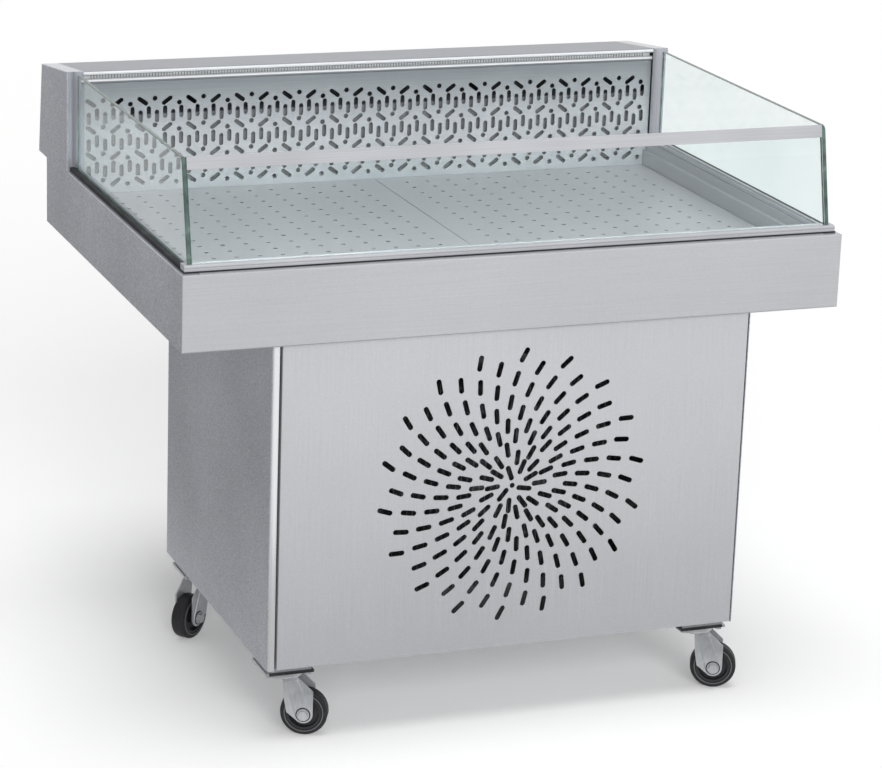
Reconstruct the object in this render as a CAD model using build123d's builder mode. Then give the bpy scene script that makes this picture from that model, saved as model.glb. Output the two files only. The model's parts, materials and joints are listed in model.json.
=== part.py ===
from build123d import *
import os
from math import cos, radians, sin

# Refrigerated fish display case: a folded steel tub with a glass screen round its well, an air
# upstand along the rear, a machine cabinet underneath and four swivel casters.
# Millimetres. +Z up, front towards -Y, origin on the floor under the middle of the case.
# Depths (named d) are measured back from the front face of the fascia.

os.makedirs("parts", exist_ok=True)

# Overall size
WIDTH = 1300.0
DEPTH = 1050.0
RIM = 922.0
TOP = RIM + 200.0
SKIRT = RIM - 143.0

# Sheet metal
SHEET = 1.5
BEND = 2.5
GAP = 0.3

# Tub and upstand, seen from the side
SIDE_WALL = 34.0
BOX_REAR = 985.0
UPSTAND_FOOT = RIM - 10.0
UPSTAND_TOP_REAR = TOP - 24.0
UPSTAND_LEAN = 25.0
CHEEK_FRONT = 820.0
SIDE_INNER = WIDTH / 2 - SIDE_WALL
PANEL_HALF = SIDE_INNER - GAP

# Well
WELL_FRONT = 53.0
WELL_REAR = 847.0
WELL_HALF = SIDE_INNER - 0.5
STEP_LEVEL = RIM - 20.0
DECK_LEVEL = RIM - 52.0
WELL_FLOOR = RIM - 102.0
REAR_SILL = DECK_LEVEL + 14.0
STEP_WIDTH = 8.0
DECK_LEDGE = 14.0
REAR_LEDGE = 33.5
DRAIN_X = 220.0
DRAIN_D = 770.0
DRAIN_BORE = 17.0
DRAIN_SLEEVE = DRAIN_BORE + 5.0

# Back grille, baffle and air outlet
GRILLE_D = 828.0
GRILLE_TOP = TOP - 22.0
BEAD = 5.0
ROW_PITCH = 54.0
ZIGZAG_TOP_ROW = GRILLE_TOP - 45.0
PATTERN_PERIODS = 12
PATTERN_PERIOD = 101.0
SLOT_LENGTH = 25.0
SLOT_WIDTH = 8.8
SHELF = RIM + 103.0

# Glass screen
GLASS = 8.0
GLASS_FOOT = (26.0, RIM + 6.0)
GLASS_HEAD = (68.0, TOP - 3.0)
SIDE_GLASS_X = 634.0
GLASS_JOINT = 0.5
FRONT_GLASS_HALF = SIDE_GLASS_X - GLASS - GLASS_JOINT
RAIL_FRONT = 17.0
RAIL_REAR = 42.0
RAIL_HEIGHT = 11.0
SEAL = 2.5
TRIM_DROP = 22.0

# Cabinet
CABINET_HALF = 475.0
CABINET_FRONT = 15.0
CABINET_REAR = 690.0
CABINET_FOOT = 148.0
CORNER_LAND = 14.0
CORNER_RADIUS = 9.0
SEAM = 4.5
RETURN = 18.0
BASE_THICK = 3.0
WHIRL_RADIUS = 254.0
WHIRL_LIFT = 8.0
WHIRL_SLOT = (31.0, 10.0)

# Casters
WHEEL_RADIUS = 45.0
WHEEL_WIDTH = 30.0
TRAIL = 42.0
AXLE_RADIUS = 5.0
CASTER_X = 424.0
CASTER_FRONT_D = 76.0
CASTER_REAR_D = 616.0
PAD = 12.0
PAD_INSET = 4.0
PLATE = (94.0, 86.0, 5.0)
PLATE_BOLTS = (74.0, 66.0)
PLATE_TOP = CABINET_FOOT - PAD
PLATE_UNDER = PLATE_TOP - PLATE[2]
RUNNING = 0.05


def y_at(d):
    """Y of a point that lies d behind the fascia's front face."""
    return d - DEPTH / 2


def front_plane(d):
    """Upright plane at depth d: its sketch reads X and Z, and it extrudes towards the front."""
    return Plane.XZ.offset(-y_at(d))


def side_points(points):
    """Side view points, given as depth and height, in the YZ plane."""
    return [(y_at(d), z) for d, z in points]


def block(x, d, z, mode=Mode.ADD):
    """Box between limits: x, depth and height are each a (low, high) pair."""
    with Locations(((x[0] + x[1]) / 2, y_at((d[0] + d[1]) / 2), (z[0] + z[1]) / 2)):
        Box(x[1] - x[0], d[1] - d[0], z[1] - z[0], mode=mode)


def post(x, d, z, radius, mode=Mode.ADD):
    """Upright cylinder between the two heights in z."""
    with Locations((x, y_at(d), (z[0] + z[1]) / 2)):
        Cylinder(radius, z[1] - z[0], mode=mode)


def rod(x, d, z, radius, mode=Mode.ADD):
    """Cylinder along the depth, between the two depths in d."""
    with Locations((x, y_at((d[0] + d[1]) / 2), z)):
        Cylinder(radius, d[1] - d[0], rotation=(90, 0, 0), mode=mode)


def folded_sheet(plane, points, start, length, radius=BEND):
    """Bent sheet: the fold line is its outer face, the sheet lies on the line's left."""
    with BuildSketch(plane.offset(start)) as profile:
        with BuildLine():
            FilletPolyline(*points, radius=radius)
            offset(amount=SHEET, side=Side.LEFT)
        make_face()
    extrude(profile.sketch, amount=length)


def prism(plane, points, start, length):
    """Straight-sided solid with the given outline."""
    with BuildSketch(plane.offset(start)) as profile:
        with BuildLine():
            Polyline(*points, close=True)
        make_face()
    extrude(profile.sketch, amount=length)


def save(builder, name):
    """Name a finished piece and write it."""
    builder.part.label = name
    export_step(builder.part, f"parts/{name}.step")


def mirrored(builder, name):
    """The same piece for the other side of the case."""
    with BuildPart() as other:
        add(mirror(builder.part, about=Plane.YZ))
    save(other, name)


def top_line(d):
    """Height of the upstand's top, which falls a little towards the rear."""
    run = DEPTH - UPSTAND_LEAN - CHEEK_FRONT
    return TOP - (TOP - UPSTAND_TOP_REAR) * (d - CHEEK_FRONT) / run


# Side panels: one pressed tray each, from the fascia to the end of the upstand
FASCIA_RETURN = 5.0
SIDE_FRONT = FASCIA_RETURN + GAP
SIDE_OUTLINE = [
    (SIDE_FRONT, SKIRT),
    (BOX_REAR, SKIRT),
    (BOX_REAR, UPSTAND_FOOT),
    (DEPTH, UPSTAND_FOOT),
    (DEPTH - UPSTAND_LEAN, UPSTAND_TOP_REAR),
    (CHEEK_FRONT, TOP),
    (CHEEK_FRONT, RIM),
    (SIDE_FRONT, RIM),
]

with BuildPart() as side_panel_left:
    prism(Plane.YZ, side_points(SIDE_OUTLINE), -WIDTH / 2, SIDE_WALL)
    outer_face = side_panel_left.faces().sort_by(Axis.X)[0]
    front_edge = outer_face.edges().sort_by(Axis.Y)[0]
    fillet([edge for edge in outer_face.edges() if edge != front_edge], BEND)
    offset(amount=-SHEET, openings=side_panel_left.faces().sort_by(Axis.X)[-1])
save(side_panel_left, "side_panel_left")
mirrored(side_panel_left, "side_panel_right")

# Fascia: full-width front sheet, bent back all round, with a top ledge and a bottom return
# that run on between the side panels
LEDGE = WELL_FRONT - 1.0
BOTTOM_RETURN = 40.0
with BuildPart() as fascia:
    block((-WIDTH / 2, WIDTH / 2), (0, FASCIA_RETURN), (SKIRT, RIM))
    front_face = fascia.faces().sort_by(Axis.Y)[0]
    fillet(front_face.edges(), BEND)
    offset(amount=-SHEET, openings=fascia.faces().sort_by(Axis.Y)[-1])
    block((-PANEL_HALF, PANEL_HALF), (BEND, LEDGE), (RIM - SHEET, RIM))
    block((-PANEL_HALF, PANEL_HALF), (BEND, BOTTOM_RETURN), (SKIRT, SKIRT + SHEET))
save(fascia, "fascia")

# Tub underside, with openings for the drain and the refrigerant lines
SUCTION_X = -60.0
SUCTION_D = 470.0
SUCTION_RADIUS = 8.0
LIQUID_X = -20.0
LIQUID_D = 520.0
LIQUID_RADIUS = 5.0
LINE_PLAY = 4.0
with BuildPart() as tub_floor:
    block((-PANEL_HALF, PANEL_HALF), (BOTTOM_RETURN + GAP, BOX_REAR - SHEET), (SKIRT, SKIRT + SHEET))
    through = (SKIRT - 1, SKIRT + SHEET + 1)
    post(DRAIN_X, DRAIN_D, through, DRAIN_SLEEVE, mode=Mode.SUBTRACT)
    post(SUCTION_X, SUCTION_D, through, SUCTION_RADIUS + LINE_PLAY, mode=Mode.SUBTRACT)
    post(LIQUID_X, LIQUID_D, through, LIQUID_RADIUS + LINE_PLAY, mode=Mode.SUBTRACT)
save(tub_floor, "tub_floor")

# Rear panel of the tub, with cut-outs for the controls
CONTROL_Z = RIM - 76.0
CONTROLLER_X = -360.0
CONTROLLER = (71.0, 29.0)
INLET_X = -230.0
INLET = (27.0, 47.0)
REAR_SKIN = (BOX_REAR - SHEET, BOX_REAR)
REAR_LIP = 20.0
with BuildPart() as tub_rear_panel:
    block((-PANEL_HALF, PANEL_HALF), REAR_SKIN, (SKIRT + SHEET, UPSTAND_FOOT))
    for side in (-1, 1):
        lip = sorted((side * PANEL_HALF, side * (PANEL_HALF - SHEET)))
        block(lip, (BOX_REAR - REAR_LIP, BOX_REAR), (SKIRT + SHEET, UPSTAND_FOOT))
    for x, (width, height) in ((CONTROLLER_X, CONTROLLER), (INLET_X, INLET)):
        wide = (x - width / 2, x + width / 2)
        tall = (CONTROL_Z - height / 2, CONTROL_Z + height / 2)
        block(wide, (BOX_REAR - 3, BOX_REAR + 3), tall, mode=Mode.SUBTRACT)
save(tub_rear_panel, "tub_rear_panel")

# Upstand cover: underside, rear and top in one sheet, with a rolled nose over the air outlet
NOSE = 4.5
with BuildPart() as upstand_cover:
    folded_sheet(
        Plane.YZ,
        side_points(
            [
                (BOX_REAR + GAP, UPSTAND_FOOT),
                (DEPTH, UPSTAND_FOOT),
                (DEPTH - UPSTAND_LEAN, UPSTAND_TOP_REAR),
                (CHEEK_FRONT + NOSE, top_line(CHEEK_FRONT + NOSE)),
            ]
        ),
        -PANEL_HALF,
        2 * PANEL_HALF,
    )
    with BuildSketch(Plane.YZ.offset(-PANEL_HALF)):
        with Locations((y_at(CHEEK_FRONT + NOSE), top_line(CHEEK_FRONT + NOSE) - NOSE)):
            Circle(NOSE)
    extrude(amount=2 * PANEL_HALF)
save(upstand_cover, "upstand_cover")

# Air outlet strip: a ribbed sheet set back in the gap under the nose
STRIP_D = GRILLE_D + BEAD + 1.0
STRIP_SLOTS = 200
STRIP_PITCH = 6.0
STRIP_SLOT = (1.8, 12.0)
STRIP_HALF = PANEL_HALF - 2.0
STRIP_LOW = GRILLE_TOP - 8.0
STRIP_HIGH = GRILLE_TOP + 16.0
STRIP_SLOT_Z = GRILLE_TOP + 8.5
with BuildPart() as outlet_strip:
    with BuildSketch(front_plane(STRIP_D)):
        with Locations((0, (STRIP_LOW + STRIP_HIGH) / 2)):
            Rectangle(2 * STRIP_HALF, STRIP_HIGH - STRIP_LOW)
        with Locations((0, STRIP_SLOT_Z)):
            with GridLocations(STRIP_PITCH, 1, STRIP_SLOTS, 1):
                Rectangle(*STRIP_SLOT, mode=Mode.SUBTRACT)
    extrude(amount=-SHEET)
    block((-STRIP_HALF, STRIP_HALF), (GRILLE_D + SHEET, STRIP_D), (STRIP_LOW, STRIP_LOW + SHEET))
save(outlet_strip, "outlet_strip")

# Perforated back panel: rows of slanted slots and dots between rows of staggered upright slots
GRILLE_HALF = 612.0
GRILLE_PLAY = 0.5
GRILLE_EDGE = SIDE_INNER - GRILLE_PLAY
GRILLE_FOOT = WELL_HALF - STEP_WIDTH - SHEET - GRILLE_PLAY
DIAGONAL = 36.0
DOT = SLOT_WIDTH / 2 + 0.5
DOT_LIFT = 5.0
STAGGER = 4.0


def zigzag_row(z):
    """One row: falling slot, high dot, rising slot, low dot, and so on."""
    for period in range(PATTERN_PERIODS):
        left = (period - PATTERN_PERIODS / 2) * PATTERN_PERIOD
        with Locations((left + PATTERN_PERIOD / 8, z)):
            SlotOverall(SLOT_LENGTH, SLOT_WIDTH, rotation=-DIAGONAL)
        with Locations((left + PATTERN_PERIOD * 3 / 8, z + DOT_LIFT)):
            Circle(DOT)
        with Locations((left + PATTERN_PERIOD * 5 / 8, z)):
            SlotOverall(SLOT_LENGTH, SLOT_WIDTH, rotation=DIAGONAL)
        with Locations((left + PATTERN_PERIOD * 7 / 8, z - DOT_LIFT)):
            Circle(DOT)


def upright_row(z):
    """One row of upright slots, each one higher or lower than its neighbours."""
    count = PATTERN_PERIODS * 6
    pitch = PATTERN_PERIOD / 6
    places = []
    for index in range(count):
        lift = STAGGER if index % 2 else -STAGGER
        places.append(((index - (count - 1) / 2) * pitch, z + lift))
    with Locations(*places):
        SlotOverall(SLOT_LENGTH, SLOT_WIDTH, rotation=90)


with BuildPart() as back_grille:
    block((-GRILLE_HALF, GRILLE_HALF), (GRILLE_D, GRILLE_D + SHEET), (STEP_LEVEL + GAP, GRILLE_TOP))
    block((-GRILLE_FOOT, GRILLE_FOOT), (GRILLE_D, GRILLE_D + SHEET), (DECK_LEVEL, GRILLE_TOP))
    block((-GRILLE_EDGE, GRILLE_EDGE), (GRILLE_D, GRILLE_D + SHEET), (RIM + GAP, GRILLE_TOP))
    with BuildSketch(front_plane(GRILLE_D)):
        for row in range(4):
            zigzag_row(ZIGZAG_TOP_ROW - row * ROW_PITCH)
        for row in range(3):
            upright_row(ZIGZAG_TOP_ROW - (row + 0.5) * ROW_PITCH)
    extrude(amount=-SHEET, mode=Mode.SUBTRACT)
    with BuildSketch(Plane.YZ.offset(-GRILLE_EDGE)):
        with Locations((y_at(GRILLE_D), GRILLE_TOP)):
            Circle(BEAD)
    extrude(amount=2 * GRILLE_EDGE)
save(back_grille, "back_grille")

# Baffle: closes the back of the grille and carries the fans on its shelf
FAN_X = 300.0
FAN_D = 935.0
FAN_BOX = 119.0
FAN_HEIGHT = 38.0
FAN_BORE = 57.0
BAFFLE_REAR = 1020.0
with BuildPart() as air_baffle:
    folded_sheet(
        Plane.YZ,
        side_points(
            [
                (BAFFLE_REAR, SHELF),
                (WELL_REAR - SHEET, SHELF),
                (WELL_REAR - SHEET, REAR_SILL + GAP),
            ]
        ),
        -GRILLE_HALF,
        2 * GRILLE_HALF,
    )
    for side in (-1, 1):
        post(side * FAN_X, FAN_D, (SHELF - 10, SHELF + 10), FAN_BORE, mode=Mode.SUBTRACT)
save(air_baffle, "air_baffle")

# Fan housings: square frames with a motor on four struts
MOTOR_RADIUS = 20.0
MOTOR_TOP = SHELF + 12.0
PIN_RADIUS = 3.0
PIN_TOP = MOTOR_TOP + 20.0
STRUT = (5.0, 4.0)
with BuildPart() as fan_housings:
    for side in (-1, 1):
        x = side * FAN_X
        with BuildSketch(Plane.XY.offset(SHELF)):
            with Locations((x, y_at(FAN_D))):
                RectangleRounded(FAN_BOX, FAN_BOX, 6)
                Circle(FAN_BORE, mode=Mode.SUBTRACT)
        extrude(amount=FAN_HEIGHT)
        with Locations((x, y_at(FAN_D), SHELF + STRUT[1] / 2)):
            with PolarLocations(FAN_BORE / 2 + 2, 4, start_angle=45):
                Box(FAN_BORE, *STRUT)
        post(x, FAN_D, (SHELF, MOTOR_TOP), MOTOR_RADIUS)
        post(x, FAN_D, (MOTOR_TOP, PIN_TOP), PIN_RADIUS)
save(fan_housings, "fan_housings")

# Evaporator fan rotors: a cup with seven pitched blades, bored for the housing's pin
ROTOR_Z = (MOTOR_TOP + 1.0, PIN_TOP + 2.0)
BLADE = (36.0, 24.0, 1.5)
BLADE_COUNT = 7
BLADE_PITCH = 32.0
for side, hand in ((-1, "left"), (1, "right")):
    with BuildPart() as fan_rotor:
        post(side * FAN_X, FAN_D, ROTOR_Z, MOTOR_RADIUS)
        with Locations((side * FAN_X, y_at(FAN_D), sum(ROTOR_Z) / 2)):
            with PolarLocations(BLADE[0], BLADE_COUNT):
                Box(*BLADE, rotation=(BLADE_PITCH, 0, 0))
        post(side * FAN_X, FAN_D, (MOTOR_TOP, PIN_TOP + 0.5), PIN_RADIUS + RUNNING, mode=Mode.SUBTRACT)
    save(fan_rotor, f"evaporator_fan_{hand}")

# Evaporator: fins on tubes between two end plates
COOLER_HALF = 520.0
COOLER_D = (885.0, 965.0)
COOLER_Z = (UPSTAND_FOOT + 12, UPSTAND_FOOT + 95)
TUBE_D = (COOLER_D[0] + 20, COOLER_D[1] - 20)
TUBE_Z = (COOLER_Z[0] + 23, COOLER_Z[1] - 23)
FIN_PITCH = 20.0
FIN = 0.8
TUBE = 6.0
with BuildPart() as evaporator:
    fin_count = int(2 * COOLER_HALF / FIN_PITCH) - 1
    with Locations((0, y_at(sum(COOLER_D) / 2), sum(COOLER_Z) / 2)):
        with GridLocations(FIN_PITCH, 1, fin_count, 1):
            Box(FIN, COOLER_D[1] - COOLER_D[0], COOLER_Z[1] - COOLER_Z[0])
    for d in TUBE_D:
        for z in TUBE_Z:
            with Locations((0, y_at(d), z)):
                Cylinder(TUBE, 2 * COOLER_HALF, rotation=(0, 90, 0))
    for x in (-COOLER_HALF, COOLER_HALF):
        block((x - 1, x + 1), COOLER_D, (COOLER_Z[0], SHELF - SHEET))
    post(SUCTION_X, TUBE_D[1], (UPSTAND_FOOT, TUBE_Z[0]), SUCTION_RADIUS)
    post(LIQUID_X, TUBE_D[0], (UPSTAND_FOOT, TUBE_Z[0]), LIQUID_RADIUS)
save(evaporator, "evaporator")

# Well: folded strips welded round a floor pan, with a drain hole and a middle bearer for the deck
WELD = 0.1
STEP_HALF = WELL_HALF - STEP_WIDTH
STEP_FRONT = WELL_FRONT + STEP_WIDTH
RISER_HALF = STEP_HALF - SHEET
RISER_FRONT = STEP_FRONT + SHEET
WALL_HALF = STEP_HALF - DECK_LEDGE
WALL_FRONT = STEP_FRONT + DECK_LEDGE
WALL_REAR = WELL_REAR - REAR_LEDGE
BASIN_HALF = WALL_HALF - SHEET
BASIN_FRONT = WALL_FRONT + SHEET
BASIN_REAR = WALL_REAR - SHEET
WELL_TOP = RIM - 1.0
STEP_Z = (STEP_LEVEL - SHEET, STEP_LEVEL)
DECK_Z = (DECK_LEVEL - SHEET, DECK_LEVEL)
RISER_Z = (DECK_LEVEL + WELD, STEP_LEVEL)
BASIN_Z = (WELL_FLOOR + SHEET + WELD, DECK_LEVEL)
STRIP_REAR = WELL_REAR - 2 * SHEET
BEARER = 15.0
BEARER_HEIGHT = 10.0


def across(half):
    """Limits in x of a piece that is centred on the case."""
    return (-half, half)


def on_side(side, inner, outer):
    """Limits in x of a piece on the left (-1) or right (1) that reaches from inner to outer."""
    return sorted((side * inner, side * outer))


with BuildPart() as well_tank:
    for side in (-1, 1):
        # Side strips: rim wall, step and riser, then the deck ledge and the basin wall
        block(on_side(side, WELL_HALF - SHEET, WELL_HALF), (WELL_FRONT, WELL_REAR), (STEP_Z[0], WELL_TOP))
        block(on_side(side, RISER_HALF, WELL_HALF), (WELL_FRONT, STRIP_REAR), STEP_Z)
        block(on_side(side, RISER_HALF, STEP_HALF), (STEP_FRONT, STRIP_REAR), RISER_Z)
        block(on_side(side, BASIN_HALF, STEP_HALF), (STEP_FRONT, WELL_REAR), DECK_Z)
        block(on_side(side, BASIN_HALF, WALL_HALF), (WALL_FRONT, WALL_REAR), BASIN_Z)
    # Front strips between the side strips
    rim_d = (WELL_FRONT, WELL_FRONT + SHEET)
    block(across(WELL_HALF - SHEET - WELD), rim_d, (STEP_LEVEL + WELD, WELL_TOP))
    block(across(RISER_HALF - WELD), rim_d, (STEP_Z[0], WELL_TOP))
    block(across(RISER_HALF - WELD), (WELL_FRONT, RISER_FRONT), STEP_Z)
    block(across(RISER_HALF - WELD), (STEP_FRONT, RISER_FRONT), RISER_Z)
    block(across(BASIN_HALF - WELD), (STEP_FRONT, BASIN_FRONT), DECK_Z)
    block(across(BASIN_HALF - WELD), (WALL_FRONT, BASIN_FRONT), BASIN_Z)
    # Rear ledge with its basin wall, and the sill behind it
    block(across(BASIN_HALF - WELD), (BASIN_REAR, WELL_REAR), DECK_Z)
    block(across(BASIN_HALF - WELD), (BASIN_REAR, WALL_REAR), BASIN_Z)
    block(across(RISER_HALF - WELD), (WELL_REAR - SHEET, WELL_REAR), (DECK_LEVEL + WELD, REAR_SILL))
    # Floor pan and bearer
    block(across(WALL_HALF), (WALL_FRONT, WALL_REAR), (WELL_FLOOR, WELL_FLOOR + SHEET))
    post(DRAIN_X, DRAIN_D, (WELL_FLOOR - 1, WELL_FLOOR + SHEET + 1), DRAIN_BORE, mode=Mode.SUBTRACT)
    bearer_d = (BASIN_FRONT + WELD, BASIN_REAR - WELD)
    block(across(BEARER), bearer_d, (DECK_LEVEL - BEARER_HEIGHT, DECK_LEVEL))
save(well_tank, "well_tank")

# Insulation: foam boards under and round the basin, with a duct for the lines and a drain sleeve
DUCT_EDGE = 15.0
DUCT_ROOF = WELL_FLOOR - 2.0
with BuildPart() as insulation:
    block(across(WELL_HALF), (WELL_FRONT, WELL_REAR), (SKIRT + SHEET, WELL_FLOOR - WELD))
    post(DRAIN_X, DRAIN_D, (SKIRT, WELL_FLOOR), DRAIN_SLEEVE, mode=Mode.SUBTRACT)
    duct = (SUCTION_X - DUCT_EDGE, LIQUID_X + DUCT_EDGE)
    block(duct, (SUCTION_D - DUCT_EDGE, WELL_REAR + 1), (SKIRT, DUCT_ROOF), mode=Mode.SUBTRACT)
    board_z = (WELL_FLOOR, DECK_Z[0])
    for side in (-1, 1):
        block(on_side(side, WALL_HALF + GAP, WELL_HALF), (WELL_FRONT, WELL_REAR), board_z)
    for board_d in ((WELL_FRONT, WALL_FRONT - GAP), (WALL_REAR + GAP, WELL_REAR)):
        block(across(WALL_HALF + GAP - WELD), board_d, board_z)
save(insulation, "insulation")

# Deck trays: perforated sheets with turned-down stiffening edges, lifted straight out
TRAY_HOLE = 4.5
TRAY_PITCH = 45.0
TRAY_EDGE = 10.0
TRAY_REST = 0.2
TRAY_REAR = GRILLE_D - 2
TRAY_PLAY = 1.5
TRAY_SPAN = (1.0, RISER_HALF - TRAY_PLAY)
TRAY_SKIRT = (BEARER + 3, BASIN_HALF - 2)
tray_low = DECK_LEVEL + TRAY_REST
with BuildPart() as deck_tray_right:
    block(TRAY_SPAN, (RISER_FRONT + TRAY_PLAY, TRAY_REAR), (tray_low, tray_low + SHEET))
    edge = (BASIN_FRONT + 2, BASIN_REAR - 2)
    drop = (tray_low - TRAY_EDGE, tray_low)
    block(TRAY_SKIRT, edge, drop)
    inside = (TRAY_SKIRT[0] + SHEET, TRAY_SKIRT[1] - SHEET)
    block(inside, (edge[0] + SHEET, edge[1] - SHEET), drop, mode=Mode.SUBTRACT)
    columns = int((inside[1] - inside[0]) / TRAY_PITCH)
    rows = int((edge[1] - edge[0]) / TRAY_PITCH)
    with BuildSketch(Plane.XY.offset(tray_low)):
        with Locations((sum(TRAY_SKIRT) / 2, y_at(sum(edge) / 2))):
            with GridLocations(TRAY_PITCH, TRAY_PITCH, columns, rows):
                Circle(TRAY_HOLE)
    extrude(amount=SHEET, mode=Mode.SUBTRACT)
save(deck_tray_right, "deck_tray_right")
mirrored(deck_tray_right, "deck_tray_left")

# Glass screen: leaning front pane, two side panes, their rail, seal and top trim
lean = (Vector(*GLASS_HEAD) - Vector(*GLASS_FOOT)).normalized()
back = Vector(lean.Y, -lean.X)


def on_pane(up, into):
    """Side view point on the front pane: up its face from the foot, and into its thickness."""
    point = Vector(*GLASS_FOOT) + lean * up + back * into
    return (point.X, point.Y)


PANE_HEIGHT = (Vector(*GLASS_HEAD) - Vector(*GLASS_FOOT)).length
with BuildPart() as front_glass:
    corners = [on_pane(0, 0), on_pane(PANE_HEIGHT, 0), on_pane(PANE_HEIGHT, GLASS), on_pane(0, GLASS)]
    prism(Plane.YZ, side_points(corners), -FRONT_GLASS_HALF, 2 * FRONT_GLASS_HALF)
save(front_glass, "front_glass")

PANE_CORNER = 12.0
PANE_GAP = 24.0
PANE_REAR = CHEEK_FRONT - PANE_GAP
with BuildPart() as side_glass_right:
    corners = [GLASS_FOOT, GLASS_HEAD, (PANE_REAR, GLASS_HEAD[1]), (PANE_REAR, GLASS_FOOT[1])]
    prism(Plane.YZ, side_points(corners), SIDE_GLASS_X - GLASS, GLASS)
    crossways = side_glass_right.edges().filter_by(Axis.X)
    fillet(crossways.group_by(Axis.Z)[-1].sort_by(Axis.Y)[0], PANE_CORNER)
save(side_glass_right, "side_glass_right")
mirrored(side_glass_right, "side_glass_left")

# Rail: a grooved bar with slots for the panes, and a stepped strip inside each side pane
RAIL_HALF = 642.0
RAIL_GROOVE = 1.0
RAIL_CHAMFER = (3.0, 2.5)
SLOT_PLAY = 0.2
CURB_X = (SIDE_INNER + 0.5, SIDE_INNER + 5.0, SIDE_GLASS_X - GLASS - GLASS_JOINT)
CURB_HEIGHT = (6.0, 11.0)
SIDE_STRIP_D = (RAIL_REAR + GAP, CHEEK_FRONT - GAP)
with BuildPart() as glass_rail:
    rail_low = RIM + SEAL
    rail_top = rail_low + RAIL_HEIGHT
    groove = rail_low + RAIL_HEIGHT / 2
    profile = [
        (RAIL_FRONT, rail_low),
        (RAIL_FRONT, groove - RAIL_GROOVE),
        (RAIL_FRONT + RAIL_GROOVE, groove),
        (RAIL_FRONT, groove + RAIL_GROOVE),
        (RAIL_FRONT, rail_top - RAIL_CHAMFER[1]),
        (RAIL_FRONT + RAIL_CHAMFER[0], rail_top),
        (RAIL_REAR, rail_top),
        (RAIL_REAR, rail_low),
    ]
    prism(Plane.YZ, side_points(profile), -RAIL_HALF, 2 * RAIL_HALF)
    reach = 3 * RAIL_HEIGHT
    low, high = -SLOT_PLAY, GLASS + SLOT_PLAY
    slot = [on_pane(low, low), on_pane(reach, low), on_pane(reach, high), on_pane(low, high)]
    with BuildSketch(Plane.YZ.offset(-FRONT_GLASS_HALF)):
        with BuildLine():
            Polyline(*side_points(slot), close=True)
        make_face()
    extrude(amount=2 * FRONT_GLASS_HALF, mode=Mode.SUBTRACT)
    notch_d = (GLASS_FOOT[0] - SLOT_PLAY, RAIL_REAR + 1)
    notch_z = (GLASS_FOOT[1] - SLOT_PLAY, rail_top + 1)
    for side in (-1, 1):
        notch_x = on_side(side, FRONT_GLASS_HALF - 1, SIDE_GLASS_X + SLOT_PLAY)
        block(notch_x, notch_d, notch_z, mode=Mode.SUBTRACT)
        block(on_side(side, CURB_X[0], CURB_X[2]), SIDE_STRIP_D, (RIM, RIM + CURB_HEIGHT[0]))
        block(on_side(side, CURB_X[1], CURB_X[2]), SIDE_STRIP_D, (RIM, RIM + CURB_HEIGHT[1]))
save(glass_rail, "glass_rail")

# Seal: a strip under the rail, and one under each side pane with a lip outside it
SEAL_X = (SIDE_GLASS_X - GLASS, 643.0)
SEAL_TOP = RIM + 8.0
with BuildPart() as glass_seal:
    block(across(SEAL_X[1]), (RAIL_FRONT - 1.5, RAIL_REAR), (RIM, RIM + SEAL))
    for side in (-1, 1):
        block(on_side(side, *SEAL_X), SIDE_STRIP_D, (RIM, GLASS_FOOT[1] - SLOT_PLAY))
        block(on_side(side, SIDE_GLASS_X + SLOT_PLAY, SEAL_X[1]), SIDE_STRIP_D, (RIM, SEAL_TOP))
save(glass_seal, "glass_seal")

# Trim: a channel over the front pane's top edge
TRIM_BEND = 2.0
with BuildPart() as glass_trim:
    near, far = -SLOT_PLAY - SHEET, GLASS + SLOT_PLAY + SHEET
    cap, drop = PANE_HEIGHT + SLOT_PLAY + SHEET, PANE_HEIGHT - TRIM_DROP
    fold = [on_pane(drop, far), on_pane(cap, far), on_pane(cap, near), on_pane(drop, near)]
    folded_sheet(Plane.YZ, side_points(fold), -FRONT_GLASS_HALF, 2 * FRONT_GLASS_HALF, radius=TRIM_BEND)
save(glass_trim, "glass_trim")

# Cabinet sides, turned in at the rear: the left one is wrapped round the front corner, the right
# one ends beside the front panel
CABINET_TOP = SKIRT
SCREW_HEIGHTS = (CABINET_FOOT + 38, (CABINET_FOOT + CABINET_TOP) / 2, CABINET_TOP - 42)
SCREW_X = 462.0
SCREW_HOLE = 2.2
REAR_FLANGE = 25.0
SIDE_SETBACK = 1.5
SIDE_REAR = [(-CABINET_HALF + REAR_FLANGE, y_at(CABINET_REAR)), (-CABINET_HALF, y_at(CABINET_REAR))]
WRAPPED_FRONT = [
    (-CABINET_HALF, y_at(CABINET_FRONT)),
    (-CABINET_HALF + CORNER_LAND, y_at(CABINET_FRONT)),
    (-CABINET_HALF + CORNER_LAND, y_at(CABINET_FRONT + RETURN)),
]
PLAIN_FRONT = [(-CABINET_HALF, y_at(CABINET_FRONT + SIDE_SETBACK))]


def cabinet_side(front, bends):
    """Side sheet of the cabinet on the left, from its rear flange to the given front."""
    with BuildSketch(Plane.XY.offset(CABINET_FOOT)) as profile:
        with BuildLine():
            FilletPolyline(*SIDE_REAR, *front, radius=bends)
            offset(amount=SHEET, side=Side.LEFT)
        make_face()
    extrude(profile.sketch, amount=CABINET_TOP - CABINET_FOOT)
    for z in SCREW_HEIGHTS:
        rod(-SCREW_X, (CABINET_REAR - 5, CABINET_REAR + 5), z, SCREW_HOLE, mode=Mode.SUBTRACT)


with BuildPart() as cabinet_side_left:
    cabinet_side(WRAPPED_FRONT, [BEND, CORNER_RADIUS, BEND])
save(cabinet_side_left, "cabinet_side_left")
with BuildPart() as plain_side:
    cabinet_side(PLAIN_FRONT, BEND)
mirrored(plain_side, "cabinet_side_right")

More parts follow.
